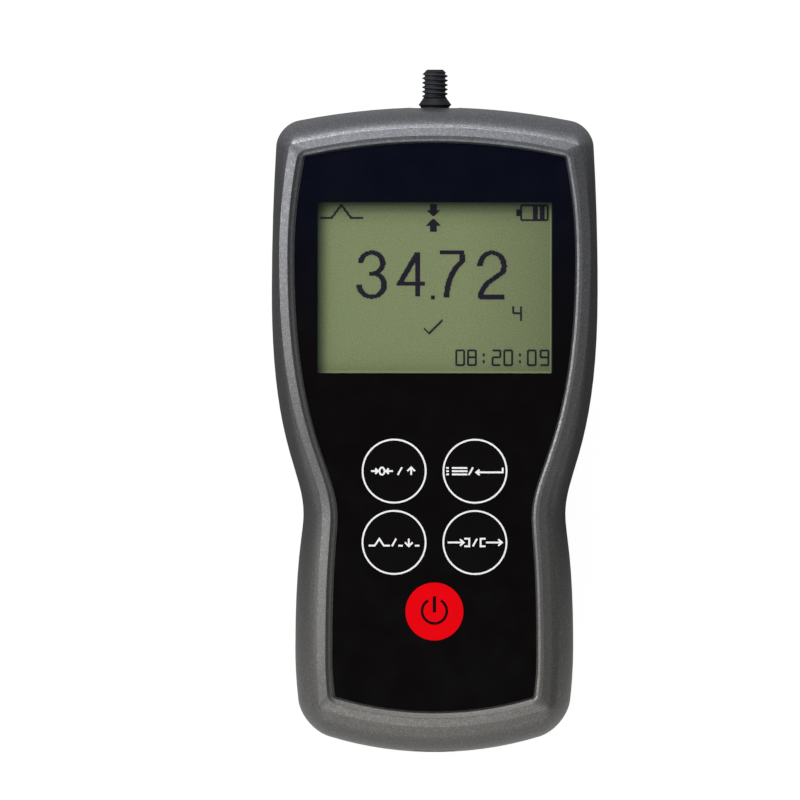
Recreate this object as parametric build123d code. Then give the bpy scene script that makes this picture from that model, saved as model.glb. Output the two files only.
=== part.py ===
from build123d import *
from dataclasses import astuple, dataclass, replace
import math
import os

# Digital force gauge, lying on its back, at its real size in millimetres.
# X runs across the gauge, Y along it towards the measuring stud, Z up through the display.
# The origin is the centre of the four mounting holes, on the back face.

# Body outline, seen from the front
body_length = 145.0
rear_depth = 17.75
front_depth = 17.75
top_arc_radius = 157.0
bottom_arc_radius = 81.3
top_corner_half = 35.4
wide_half = 36.65
wide_y = 31.0
waist_half = 29.45
waist_y = -19.0
grip_half = 31.25
grip_y = -49.0
bottom_corner_half = 29.65
top_corner_reach = 4.7
bottom_corner_reach = 6.1

# Bezel band, from the silhouette to the edge of the sunk front panel
band_top = 7.7
band_top_corner = 5.8
band_wide = 4.7
band_waist = 7.25
band_grip = 7.9
band_bottom_corner = 6.95
band_bottom = 8.8
panel_wide_rise = 7.9
panel_waist_drop = 0.7
panel_grip_drop = 2.0
panel_top_flatten = -21.5
panel_bottom_flatten = -4.8
panel_corner_reach = 0.5
crease_offset = 3.0
crease_drop = 0.45
crest_offset = 1.2
crest_land = 0.1
step_width = 0.6
step_depth = 0.55
ledge_drop = 0.15

# Shells
shell_wall = 2.5
side_draft = 0.3
seam_bevel = 0.25
front_shoulder_rise = 10.5
rear_round_rise = 8.0
rear_round_width = 6.0
floor_step_share = 0.35
recess_depth = 2.0
face_thickness = 2.0
shoulder_steps = 4
shoulder_turn = 75.0

# Front panel and keys
overlay_thickness = 0.5
overlay_gap = 0.45
window_side_margin = 5.6
window_height = 38.4
window_top_margin = 13.7
window_corner = 0.2
lens_border = 2.2
lens_thickness = 1.0
lens_gap = 0.1
sight_margin = 0.9
key_diameter = 14.9
power_key_diameter = 13.0
key_gap = 0.05
key_column_gap = 3.25
key_row_gap = 1.1
upper_key_y = -9.3
power_key_drop = 1.55
key_travel = 0.35
key_float = 0.1
key_pocket_gap = 0.15
stem_diameter = 5.0
stem_gap = 0.1
stem_reach = 0.9

# Display module
lcd_border_x = 2.15
lcd_border_y = 2.55
lcd_thickness = 2.2
backlight_gap = 0.4
lcd_room_gap = 0.3
lcd_frame_wall = 1.15
lcd_frame_lip = 0.3
lcd_frame_gap = 0.1

# Main board and what it carries
board_thickness = 1.6
board_to_face = 4.9
board_edge_gap = 1.0
board_headroom = 0.4
board_top_gap = 10.5
board_bottom_gap = 4.5
board_upper_post_gap = 1.0
board_lower_post_gap = 2.0
board_upper_tongue_gap = 1.5
board_lower_tongue_gap = 5.0
board_upper_screw_x = 20.0
board_lower_screw_x = 16.5
board_upper_screw_margin = 3.0
board_middle_screw_drop = 3.9
board_lower_screw_margin = 5.0
board_post_diameter = 6.0
board_screw_diameter = 2.5
board_screw_length = 5.5
board_screw_head = 4.6
board_screw_head_height = 1.7
switch_size = 6.0
switch_to_stem = 0.45
switch_floor = 0.35
actuator_diameter = 3.4
actuator_gap = 0.1
buzzer_diameter = 12.0
buzzer_height = 5.5
buzzer_to_edge = 13.95
buzzer_to_bracket = 4.0
buzzer_port = 1.6
chip_to_bracket = 8.0
chip_height = 1.5
chip_column_x = 15.0
processor_side = 12.0
memory_width = 9.0
memory_length = 6.0
driver_width = 7.0
driver_length = 5.0
converter_x = 12.0
converter_width = 10.0
coil_x = 9.0
coil_side = 6.0
coil_height = 2.2

# Data and charging socket at the lower end
socket_width = 7.7
socket_height = 3.9
socket_length = 9.2
socket_wall = 0.4
socket_set_back = 0.8
socket_window_margin = 0.8
socket_tongue = 1.1
socket_tongue_margin = 1.1
socket_core_gap = 0.1
socket_back_depth = 2.0

# Measuring shaft
stud_diameter = 6.0
stud_thread_length = 5.95
stud_tip_diameter = 3.6
collar_diameter = 7.4
collar_rise = 0.6
collar_cone = 1.9
neck_diameter = 4.8
shaft_diameter = 6.4
stop_groove_diameter = 4.6
flange_diameter = 9.0
flange_thickness = 2.7
spigot_diameter = 5.0
spigot_length = 3.6
shaft_gap = 0.08
bush_diameter = 11.0
bush_length = 4.0
bush_set_back = 0.2
bush_gap = 0.05
bush_boss_wall = 2.5
bush_to_stop = 0.7
bush_boss_length = 1.6

# Load cell, its bracket and the overload stop
cell_width = 32.0
cell_length = 22.0
cell_to_board = 1.25
cell_arm = 4.2
cell_slot = 2.0
cell_slot_stop = 5.0
cell_eye_wall = 2.0
cell_eye_spacing = 11.0
cell_eye_slit = 1.6
gauge_length = 5.0
gauge_width = 3.5
gauge_thickness = 0.15
stop_plate_thickness = 2.0
stop_plate_width = 26.0
shaft_travel = 0.25
stop_margin = 0.05
stop_plate_foot = 5.0
stop_guide_wall = 2.0
bracket_thickness = 3.0
bracket_base_length = 18.0
bracket_width = 30.0
bracket_lift = 0.5
bracket_screw_edge = 0.4
bracket_screw_x = 10.0
cell_screw_x = 9.0
cell_screw_diameter = 4.0
cell_screw_length = 7.0
cell_screw_head = 7.0
cell_screw_head_height = 2.6
bracket_screw_diameter = 3.0
bracket_screw_length = 6.5
bracket_screw_head = 5.5
bracket_screw_head_height = 2.0
bracket_post_diameter = 6.2

# Battery pack
battery_count = 2
battery_diameter = 14.2
battery_length = 49.2
battery_nub_diameter = 5.5
battery_nub_length = 1.0
battery_spacing = 0.8
battery_edge = 0.6
tray_wall = 1.5
tray_floor = 1.3
tray_height = 9.0
tray_gap = 0.15
tray_to_post = 1.2
pad_thickness = 1.0
pad_margin = 2.0
contact_thickness = 0.4
contact_width = 8.0

# Case screws, mounting inserts
case_upper_side = 6.5
case_upper_end = 12.5
case_lower_side = 7.8
case_lower_end = 11.5
case_post_diameter = 8.0
case_screw_diameter = 3.0
case_screw_length = 18.0
case_screw_head = 5.6
case_screw_head_height = 2.2
case_screw_seat = 8.0
case_bore_gap = 0.2
mount_spacing_x = 30.0
mount_spacing_y = 100.0
mount_thread_diameter = 4.0
insert_diameter = 6.0
insert_length = 6.0
insert_post_diameter = 9.0
insert_post_cap = 1.5
fit_gap = 0.05
screw_clearance = 0.4
drive_socket_depth = 1.0
drive_socket_width = 0.9

# Heights and places that follow from the sizes above
parting_height = rear_depth
body_depth = rear_depth + front_depth
front_shoulder_z = body_depth - front_shoulder_rise
face_z = body_depth - recess_depth
overlay_top_z = face_z + overlay_thickness
ceiling_z = face_z - face_thickness
board_top_z = ceiling_z - board_to_face
board_bottom_z = board_top_z - board_thickness
top_y = body_length / 2
post_root_z = shell_wall / 2
bottom_y = -body_length / 2
shaft_z = parting_height
window_width = 2 * (wide_half - band_wide - window_side_margin)
window_y = top_y - window_top_margin - band_top - window_height / 2
lcd_width = window_width + 2 * lcd_border_x
lcd_height = window_height + 2 * lcd_border_y
lcd_frame_width = lcd_width + 2 * (lcd_frame_gap + lcd_frame_wall)
lcd_frame_height = lcd_height + 2 * (lcd_frame_gap + lcd_frame_wall)
backlight_thickness = board_to_face - lcd_frame_lip - lcd_thickness - backlight_gap
key_pocket_depth = key_travel + key_float
switch_height = board_to_face - stem_reach - key_travel - switch_to_stem
lower_key_y = upper_key_y - key_diameter - key_row_gap
power_key_y = lower_key_y - key_diameter / 2 - power_key_drop - power_key_diameter / 2
key_x = (key_diameter + key_column_gap) / 2
bush_outer_y = top_y - bush_set_back
bush_inner_y = bush_outer_y - bush_length
stop_clearance = shaft_travel + stop_margin
stop_y = bush_inner_y - bush_to_stop - stop_plate_thickness
flange_end_y = stop_y - stop_clearance
cell_top_y = flange_end_y - flange_thickness
cell_bottom_y = cell_top_y - cell_length
cell_thickness = 2 * (board_bottom_z - cell_to_board - shaft_z)
cell_web = cell_length - 2 * (cell_arm + cell_slot)
cell_eye_diameter = cell_web - 2 * cell_eye_wall
mount_post_top = insert_length + insert_post_cap
bracket_height = mount_post_top + bracket_lift
bracket_top_z = bracket_height + bracket_thickness
bracket_start_y = cell_bottom_y - bracket_base_length
bracket_row_margin = bracket_screw_head / 2 + bracket_screw_edge
buzzer_x = wide_half - band_wide - buzzer_to_edge
buzzer_y = bracket_start_y - buzzer_to_bracket
battery_pitch = battery_diameter + battery_spacing
battery_z = shell_wall + pad_thickness + tray_floor + battery_diameter / 2 + tray_gap
tray_width = (battery_count - 1) * battery_pitch + battery_diameter + 2 * (tray_gap + tray_wall)
tray_length = battery_length + battery_nub_length + 2 * (contact_thickness + tray_gap + tray_wall)
tray_start_y = -mount_spacing_y / 2 + insert_post_diameter / 2 + tray_to_post
battery_centre_y = tray_start_y + tray_length / 2
case_screw_top = (top_corner_half - case_upper_side, top_y - case_upper_end)
case_screw_bottom = (bottom_corner_half - case_lower_side, bottom_y + case_lower_end)
board_body_top = case_screw_top[1] - case_post_diameter / 2 - board_upper_post_gap
board_body_bottom = case_screw_bottom[1] + case_post_diameter / 2 + board_lower_post_gap
board_top_y = top_y - board_top_gap
board_top_half = case_screw_top[0] - case_post_diameter / 2 - board_upper_tongue_gap
board_bottom_y = bottom_y + board_bottom_gap
board_bottom_half = case_screw_bottom[0] - case_post_diameter / 2 - board_lower_tongue_gap
board_screw_places = (
    (board_upper_screw_x, board_top_y - board_upper_screw_margin),
    (board_upper_screw_x, window_y - lcd_frame_height / 2 - board_middle_screw_drop),
    (board_lower_screw_x, board_body_bottom + board_lower_screw_margin),
)
BOTTOM = (Align.CENTER, Align.CENTER, Align.MIN)
KEY_PLACES = {
    "zero": (-key_x, upper_key_y, key_diameter),
    "menu": (key_x, upper_key_y, key_diameter),
    "peak": (-key_x, lower_key_y, key_diameter),
    "send": (key_x, lower_key_y, key_diameter),
    "power": (0.0, power_key_y, power_key_diameter),
}


@dataclass
class Outline:
    """A waisted outline: arcs at both ends, and sides that swell, narrow and swell again."""

    top_y: float
    top_radius: float
    top_half: float
    wide_half: float
    wide_y: float
    waist_half: float
    waist_y: float
    grip_half: float
    grip_y: float
    bottom_half: float
    bottom_y: float
    bottom_radius: float
    top_reach: float
    bottom_reach: float


silhouette = Outline(
    top_y, top_arc_radius, top_corner_half, wide_half, wide_y, waist_half, waist_y,
    grip_half, grip_y, bottom_corner_half, bottom_y, bottom_arc_radius,
    top_corner_reach, bottom_corner_reach,
)
panel = Outline(
    top_y - band_top, top_arc_radius + panel_top_flatten, top_corner_half - band_top_corner,
    wide_half - band_wide, wide_y + panel_wide_rise,
    waist_half - band_waist, waist_y - panel_waist_drop,
    grip_half - band_grip, grip_y - panel_grip_drop,
    bottom_corner_half - band_bottom_corner, bottom_y + band_bottom,
    bottom_arc_radius + panel_bottom_flatten, panel_corner_reach, panel_corner_reach,
)


def inset(shape, distance):
    """Move every side of an outline inwards, or outwards for a distance below zero."""
    least_reach = 0.5
    return replace(
        shape,
        top_y=shape.top_y - distance,
        bottom_y=shape.bottom_y + distance,
        top_radius=shape.top_radius - distance,
        bottom_radius=shape.bottom_radius - distance,
        top_half=shape.top_half - distance,
        wide_half=shape.wide_half - distance,
        waist_half=shape.waist_half - distance,
        grip_half=shape.grip_half - distance,
        bottom_half=shape.bottom_half - distance,
        top_reach=max(shape.top_reach - distance, least_reach),
        bottom_reach=max(shape.bottom_reach - distance, least_reach),
    )


def between(first, second, share):
    """The outline that lies at a share of the way from the first to the second."""
    pairs = zip(astuple(first), astuple(second))
    return Outline(*[a + (b - a) * share for a, b in pairs])


def crossing(point, slope, other, other_slope):
    """Where two lines meet, each given by a point and a direction."""
    turn = slope[0] * other_slope[1] - slope[1] * other_slope[0]
    gap = (other[0] - point[0], other[1] - point[1])
    along = (gap[0] * other_slope[1] - gap[1] * other_slope[0]) / turn
    return (point[0] + slope[0] * along, point[1] + slope[1] * along)


def rounded_corner(arc_end, arc_slope, side_end, side_slope):
    """Control points of a curve that leaves both sides of a corner along their tangents."""
    fullness = 0.55
    tip = crossing(arc_end, arc_slope, side_end, side_slope)
    first = tuple(a + (t - a) * fullness for a, t in zip(arc_end, tip))
    last = tuple(s + (t - s) * fullness for s, t in zip(side_end, tip))
    return [arc_end, first, last, side_end]


def corner_points(apex_y, radius, half, swell_half, swell_y, reach, end):
    """The corner between an end arc and the bowed side next to it; end is 1 up, -1 down."""
    rim_y = apex_y - end * (radius - math.sqrt(radius**2 - half**2))
    arc_x = half - reach
    arc_y = apex_y - end * (radius - math.sqrt(radius**2 - arc_x**2))
    bow = (swell_half - half) / (rim_y - swell_y) ** 2
    side_y = rim_y - end * reach
    side_x = swell_half - bow * (side_y - swell_y) ** 2
    arc_slope = (radius - abs(apex_y - arc_y), -end * arc_x)
    side_slope = (-2 * bow * (side_y - swell_y), 1.0)
    return rounded_corner((arc_x, arc_y), arc_slope, (side_x, side_y), side_slope)


def side_curves(shape):
    """Control points of the right-hand side, from the top arc down to the bottom arc."""
    long_handle = 0.7
    upper_handle = 0.2
    lower_handle = 0.15
    wide = (shape.wide_half, shape.wide_y)
    waist = (shape.waist_half, shape.waist_y)
    grip = (shape.grip_half, shape.grip_y)
    upper_drop = shape.wide_y - shape.waist_y
    lower_drop = shape.waist_y - shape.grip_y
    top = corner_points(shape.top_y, shape.top_radius, shape.top_half,
                        shape.wide_half, shape.wide_y, shape.top_reach, 1)
    bottom = corner_points(shape.bottom_y, shape.bottom_radius, shape.bottom_half,
                           shape.grip_half, shape.grip_y, shape.bottom_reach, -1)
    upper_bow = [top[-1], (wide[0], (top[-1][1] + wide[1]) / 2), wide]
    taper = [wide, (wide[0], wide[1] - long_handle * upper_drop),
             (waist[0], waist[1] + upper_handle * upper_drop), waist]
    swell = [waist, (waist[0], waist[1] - lower_handle * lower_drop),
             (grip[0], grip[1] + long_handle * lower_drop), grip]
    lower_bow = [grip, (grip[0], (bottom[-1][1] + grip[1]) / 2), bottom[-1]]
    return [top, upper_bow, taper, swell, lower_bow, bottom[::-1]]


def outline_face(shape, height):
    """The flat face inside an outline, at a height."""
    right = side_curves(shape)
    left = [[(-x, y) for x, y in curve[::-1]] for curve in right[::-1]]
    start = right[0][0]
    finish = right[-1][-1]
    edges = [ThreePointArc((-start[0], start[1]), (0, shape.top_y), start)]
    edges += [Bezier(*curve) for curve in right]
    edges.append(ThreePointArc(finish, (0, shape.bottom_y), (-finish[0], finish[1])))
    edges += [Bezier(*curve) for curve in left]
    return Pos(0, 0, height) * Face(Wire(edges))


def outline_prism(shape, low, high):
    """A straight-sided block of an outline between two heights."""
    return extrude(outline_face(shape, low), amount=high - low, dir=(0, 0, 1))


def rounded_shoulder(outer, inner, start, rise, turn):
    """A block whose edge turns over along an ellipse, by some degrees, to the inner outline."""
    whole = math.radians(turn)
    faces = []
    for step in range(shoulder_steps + 1):
        angle = whole * step / shoulder_steps
        shape = between(outer, inner, (1 - math.cos(angle)) / (1 - math.cos(whole)))
        faces.append(outline_face(shape, start + rise * math.sin(angle) / math.sin(whole)))
    return loft(faces)


def post(place, low, high, diameter):
    """An upright round bar between two heights."""
    return Pos(place[0], place[1], low) * Cylinder(diameter / 2, high - low, align=BOTTOM)


def lying_bar(place, start, end, diameter):
    """A round bar along Y at (x, z), between two places along Y."""
    bar = Rot(-90, 0, 0) * Cylinder(diameter / 2, end - start, align=BOTTOM)
    return Pos(place[0], start, place[1]) * bar


def plate(width, height, centre, low, high, corner):
    """A flat plate with rounded corners, lying in XY."""
    shape = Pos(centre[0], centre[1], low) * RectangleRounded(width, height, corner)
    return extrude(shape, amount=high - low, dir=(0, 0, 1))


def four_ways(place):
    """A place and its mirror images in X and Y."""
    return [(sx * place[0], sy * place[1]) for sx in (-1, 1) for sy in (-1, 1)]


def two_ways(place):
    """A place and its mirror image in X."""
    return [(-place[0], place[1]), (place[0], place[1])]


def pan_screw(diameter, length, head, head_height):
    """A pan-head screw that points along +Z, with its seat at the origin."""
    shank = diameter / 2
    tip = shank * 0.3
    rim = head / 2
    crown = rim * 0.7
    shoulder = -head_height * 0.55
    profile = Polyline(
        (0, -head_height), (crown, -head_height), (rim, shoulder), (rim, 0), (shank, 0),
        (shank, length - tip), (shank - tip, length), (0, length), close=True,
    )
    solid = revolve(Plane.XZ * make_face(profile), Axis.Z)
    socket = Pos(0, 0, -head_height) * Box(
        drive_socket_width, crown * 1.5, drive_socket_depth, align=BOTTOM)
    return solid - socket - Rot(0, 0, 90) * socket


case_screw_places = two_ways(case_screw_top) + two_ways(case_screw_bottom)
mount_places = four_ways((mount_spacing_x / 2, mount_spacing_y / 2))
board_places = [spot for place in board_screw_places for spot in two_ways(place)]
bracket_rows = (bracket_start_y + bracket_row_margin,
                cell_bottom_y - bracket_thickness - bracket_row_margin)
bracket_places = [(side * bracket_screw_x, y) for side in (-1, 1) for y in bracket_rows]


def bush_space():
    """The room that the bush takes in the upper end wall, for both shells."""
    return lying_bar((0, shaft_z), bush_inner_y - 1, top_y + 1, bush_diameter + 2 * bush_gap)


def bush_boss():
    """The thickening of both shells round the bush, inside the upper end wall."""
    start = top_y - shell_wall - bush_boss_length
    diameter = bush_diameter + 2 * bush_boss_wall
    return lying_bar((0, shaft_z), start, top_y - side_draft - 1, diameter)


def half_space(low, high):
    """A block that holds everything between two heights."""
    return Pos(0, 0, low) * Box(2 * body_length, 2 * body_length, high - low, align=BOTTOM)


def socket_z():
    """Height of the centre of the data socket, hung under the board."""
    return board_bottom_z - socket_height / 2


def rear_housing():
    """The back shell, with screw posts, mounting posts, cell posts and stop guides."""
    outer = inset(silhouette, side_draft)
    back = inset(outer, rear_round_width)
    skirt = loft([outline_face(inset(silhouette, seam_bevel), parting_height),
                  outline_face(silhouette, parting_height - seam_bevel),
                  outline_face(outer, rear_round_rise)], ruled=True)
    turned = rounded_shoulder(outer, back, -rear_round_rise, rear_round_rise, 90)
    shell = skirt + mirror(turned, about=Plane.XY)
    hollow = inset(silhouette, shell_wall + side_draft)
    floor_shape = inset(hollow, rear_round_width * floor_step_share)
    step = shell_wall + rear_round_rise * floor_step_share
    shell -= outline_prism(hollow, step, parting_height + 1)
    shell -= outline_prism(floor_shape, shell_wall, parting_height + 1)
    for place in case_screw_places:
        shell += post(place, post_root_z, parting_height, case_post_diameter)
    for place in mount_places:
        shell += post(place, post_root_z, mount_post_top, insert_post_diameter)
    for place in bracket_places:
        shell += post(place, post_root_z, bracket_height, bracket_post_diameter)
    for side in (-1, 1):
        guide_x = side * (stop_plate_width - stop_plate_foot) / 2
        guide_y = stop_y + stop_plate_thickness / 2
        guide_length = stop_plate_thickness + 2 * stop_guide_wall
        shell += plate(stop_plate_foot, guide_length, (guide_x, guide_y), post_root_z,
                       shaft_z - cell_thickness / 2, 0.5)
    slot = stop_plate_thickness + 2 * fit_gap
    shell -= plate(stop_plate_width + 2 * fit_gap, slot, (0, stop_y + stop_plate_thickness / 2),
                   shell_wall + 1, parting_height, 0.1)
    shell += bush_boss() & half_space(0, parting_height)
    for place in case_screw_places:
        bore = case_screw_diameter + 2 * case_bore_gap
        shell -= post(place, -1, parting_height + 1, bore)
        shell -= post(place, -1, case_screw_seat, case_screw_head + 2 * case_bore_gap)
    for place in mount_places:
        shell -= post(place, -1, insert_length, insert_diameter)
    for place in bracket_places:
        shell -= post(place, shell_wall - 1, bracket_height + 1,
                      bracket_screw_diameter + 2 * fit_gap)
    return shell - bush_space()


def front_housing():
    """The front shell: a swelling bezel round a sunk face with the sight hole and key holes."""
    outer = inset(silhouette, side_draft)
    crease = replace(inset(panel, -crease_offset),
                     top_reach=panel_corner_reach, bottom_reach=panel_corner_reach)
    crest = inset(panel, -crest_offset)
    rim = inset(crest, crest_land)
    step = inset(rim, step_width)
    crease_z = body_depth - crease_drop
    step_z = body_depth - step_depth
    skirt = loft([outline_face(inset(silhouette, seam_bevel), parting_height),
                  outline_face(silhouette, parting_height + seam_bevel),
                  outline_face(outer, front_shoulder_z)], ruled=True)
    shell = skirt + rounded_shoulder(outer, crease, front_shoulder_z,
                                     crease_z - front_shoulder_z, shoulder_turn)
    shell += loft([outline_face(crease, crease_z), outline_face(crest, body_depth)], ruled=True)
    shell -= outline_prism(panel, face_z, body_depth + 1)
    shell -= loft([outline_face(step, step_z), outline_face(rim, body_depth)], ruled=True)
    shell -= loft([outline_face(inset(panel, 0.01), step_z - ledge_drop),
                   outline_face(step, step_z)], ruled=True)
    shell -= outline_prism(inset(silhouette, shell_wall + side_draft), parting_height - 1,
                           board_top_z + board_headroom)
    shell -= outline_prism(panel, parting_height - 1, ceiling_z)
    shell -= plate(lcd_frame_width + 2 * lcd_room_gap, lcd_frame_height + 2 * lcd_room_gap,
                   (0, window_y), board_bottom_z, ceiling_z, 0.5)
    for place in case_screw_places:
        shell += post(place, parting_height, ceiling_z, case_post_diameter)
    for place in board_places:
        shell += post(place, board_top_z, ceiling_z + 0.5, board_post_diameter)
    lens_size = (window_width + 2 * lens_border, window_height + 2 * lens_border)
    shell -= plate(lens_size[0], lens_size[1], (0, window_y), face_z - lens_thickness,
                   face_z + 1, window_corner + 1)
    shell -= plate(window_width + 2 * sight_margin, window_height + 2 * sight_margin,
                   (0, window_y), ceiling_z - 1, face_z + 1, window_corner)
    for place in case_screw_places:
        shell -= post(place, parting_height - 1, case_screw_seat + case_screw_length + 1,
                      case_screw_diameter + 2 * fit_gap)
    for place in board_places:
        shell -= post(place, board_top_z - 1, ceiling_z + 0.6,
                      board_screw_diameter + 2 * fit_gap)
    for x, y, diameter in KEY_PLACES.values():
        shell -= post((x, y), face_z - key_pocket_depth, face_z + 1,
                      diameter + 2 * key_pocket_gap)
        shell -= post((x, y), ceiling_z - 1, face_z + 1, stem_diameter + 2 * stem_gap)
    shell += bush_boss() & half_space(parting_height, body_depth)
    window = Pos(0, bottom_y, socket_z()) * Rot(90, 0, 0) * RectangleRounded(
        socket_width + 2 * socket_window_margin, socket_height + 2 * socket_window_margin, 1.2)
    shell -= extrude(window, amount=2 * shell_wall, both=True)
    shell -= bush_space()
    return shell


def panel_overlay():
    """The black front panel, with the display window and the five key openings."""
    sheet = outline_prism(inset(panel, overlay_gap), face_z, overlay_top_z)
    sheet -= plate(window_width, window_height, (0, window_y), face_z - 1, overlay_top_z + 1,
                   window_corner)
    for x, y, diameter in KEY_PLACES.values():
        sheet -= post((x, y), face_z - 1, overlay_top_z + 1, diameter + 2 * key_gap)
    return sheet


def display_window():
    """The clear pane, seated in the rebate under the front panel."""
    width = window_width + 2 * lens_border - 2 * lens_gap
    height = window_height + 2 * lens_border - 2 * lens_gap
    return plate(width, height, (0, window_y), face_z - lens_thickness, face_z, window_corner + 1)


def key(name):
    """One key: a flush round cap with the stem that reaches down to its switch."""
    x, y, diameter = KEY_PLACES[name]
    cap = post((x, y), face_z, overlay_top_z, diameter)
    stem = post((x, y), ceiling_z - stem_reach, face_z, stem_diameter)
    return cap + stem


def switch_actuator(name):
    """The round actuator of one switch, which the key pushes down."""
    x, y, diameter = KEY_PLACES[name]
    low = board_top_z + switch_floor + key_travel + key_float
    return post((x, y), low, ceiling_z - stem_reach, actuator_diameter)


def key_switches():
    """The bodies of the five push switches on the board, each with a bore for its actuator."""
    bodies = Part()
    for x, y, diameter in KEY_PLACES.values():
        body = plate(switch_size, switch_size, (x, y), board_top_z, board_top_z + switch_height, 0.4)
        bodies += body - post((x, y), board_top_z + switch_floor, ceiling_z,
                              actuator_diameter + 2 * actuator_gap)
    return bodies


def main_board():
    """The circuit board: the panel's outline cut short, with a tongue at each end."""
    board = outline_prism(inset(panel, board_edge_gap), board_bottom_z, board_top_z)
    span = board_body_top - board_body_bottom
    keep = plate(2 * wide_half, span, (0, (board_body_top + board_body_bottom) / 2),
                 board_bottom_z, board_top_z, 1.0)
    board = board & keep
    top_tongue = board_top_y - board_body_top + 4
    board += plate(2 * board_top_half, top_tongue, (0, board_top_y - top_tongue / 2),
                   board_bottom_z, board_top_z, 1.0)
    bottom_tongue = board_body_bottom - board_bottom_y + 4
    board += plate(2 * board_bottom_half, bottom_tongue, (0, board_bottom_y + bottom_tongue / 2),
                   board_bottom_z, board_top_z, 1.0)
    for place in board_places:
        board -= post(place, board_bottom_z - 1, board_top_z + 1, board_screw_diameter + screw_clearance)
    return board


def board_chips():
    """The larger components on the underside of the board."""
    top_row = bracket_start_y - chip_to_bracket
    middle_row = (upper_key_y + lower_key_y) / 2 + key_diameter
    lower_row = lower_key_y
    end_row = power_key_y
    sizes = (
        (0.0, top_row, processor_side, processor_side, chip_height),
        (-chip_column_x, top_row, memory_width, memory_length, chip_height),
        (-chip_column_x, middle_row, driver_width, driver_length, chip_height),
        (converter_x, middle_row, converter_width, memory_length, chip_height),
        (0.0, lower_row, processor_side, memory_length, chip_height),
        (coil_x, end_row, coil_side, coil_side, coil_height),
    )
    chips = Part()
    for x, y, width, length, height in sizes:
        chips += plate(width, length, (x, y), board_bottom_z - height, board_bottom_z, 0.3)
    return chips


def buzzer():
    """The round sounder under the board, with its sound port."""
    can = post((buzzer_x, buzzer_y), board_bottom_z - buzzer_height, board_bottom_z,
               buzzer_diameter)
    can = chamfer(can.edges().group_by(Axis.Z)[0], 0.5)
    port = post((buzzer_x, buzzer_y), board_bottom_z - buzzer_height - 1,
                board_bottom_z - buzzer_height + 1.5, buzzer_port)
    return can - port


def board_screws():
    """The six screws that hold the board to the posts of the front shell."""
    screws = Part()
    for x, y in board_places:
        screws += Pos(x, y, board_bottom_z) * pan_screw(
            board_screw_diameter, board_screw_length, board_screw_head, board_screw_head_height)
    return screws


def lcd_glass():
    """The two bonded panes of the liquid-crystal display."""
    top = ceiling_z - lcd_frame_lip
    return plate(lcd_width, lcd_height, (0, window_y), top - lcd_thickness, top, 0.2)


def lcd_backlight():
    """The light guide behind the display."""
    top = ceiling_z - lcd_frame_lip - lcd_thickness
    return plate(lcd_width, lcd_height, (0, window_y), top - backlight_thickness, top, 0.2)


def lcd_frame():
    """The pressed frame that clamps the display to the board."""
    inner = (lcd_width + 2 * lcd_frame_gap, lcd_height + 2 * lcd_frame_gap)
    frame = plate(lcd_frame_width, lcd_frame_height, (0, window_y), board_top_z, ceiling_z, 0.8)
    frame -= plate(inner[0], inner[1], (0, window_y), board_top_z - 1,
                   ceiling_z - lcd_frame_lip, 0.3)
    frame -= plate(window_width + 2 * sight_margin, window_height + 2 * sight_margin,
                   (0, window_y), board_top_z, ceiling_z + 1, window_corner)
    return frame


def data_socket():
    """The metal shell of the data and charging socket."""
    mouth_y = bottom_y + socket_set_back
    profile = RectangleRounded(socket_width, socket_height, 0.8)
    inside = offset(profile, amount=-socket_wall)
    tube = Pos(0, mouth_y, socket_z()) * Rot(-90, 0, 0) * extrude(profile - inside, socket_length)
    closing = Pos(0, mouth_y + socket_length - socket_wall, socket_z()) * Rot(-90, 0, 0) * extrude(
        profile, socket_wall)
    return tube + closing


def data_socket_core():
    """The plastic tongue and back of the data and charging socket."""
    mouth_y = bottom_y + socket_set_back
    inner_width = socket_width - 2 * socket_wall - 2 * socket_core_gap
    inner_height = socket_height - 2 * socket_wall - 2 * socket_core_gap
    back_y = mouth_y + socket_length - socket_wall - socket_back_depth / 2
    back = Pos(0, back_y, socket_z()) * Box(inner_width, socket_back_depth, inner_height)
    tongue = Pos(0, mouth_y + socket_length / 2, socket_z()) * Box(
        inner_width - 2 * socket_tongue_margin, socket_length - socket_back_depth, socket_tongue)
    return back + tongue


def load_cell():
    """The sensing block: an S cut from a solid bar, with a slit pair of eyes in its web."""
    middle_y = (cell_top_y + cell_bottom_y) / 2
    block = Pos(0, middle_y, shaft_z) * Box(cell_width, cell_length, cell_thickness)
    block = fillet(block.edges().filter_by(Axis.Z), 1.2)
    slot_length = cell_width - cell_slot_stop
    for side in (-1, 1):
        slot_y = middle_y + side * (cell_length / 2 - cell_arm - cell_slot / 2)
        end_x = side * (cell_width / 2 - cell_slot_stop)
        bar_x = end_x - side * slot_length / 2
        block -= Pos(bar_x, slot_y, shaft_z) * Box(slot_length, cell_slot, cell_thickness + 2)
        block -= post((end_x, slot_y), shaft_z - cell_thickness, shaft_z + cell_thickness, cell_slot)
    for side in (-1, 1):
        block -= post((side * cell_eye_spacing / 2, middle_y), shaft_z - cell_thickness,
                      shaft_z + cell_thickness, cell_eye_diameter)
    block -= Pos(0, middle_y, shaft_z) * Box(cell_eye_spacing, cell_eye_slit, cell_thickness + 2)
    block -= lying_bar((0, shaft_z), cell_top_y - cell_arm - 1, cell_top_y + 1,
                       spigot_diameter + 2 * fit_gap)
    for side in (-1, 1):
        block -= lying_bar((side * cell_screw_x, shaft_z), cell_bottom_y - 1,
                           cell_bottom_y + cell_arm + 1, cell_screw_diameter + 2 * fit_gap)
    return block


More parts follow.
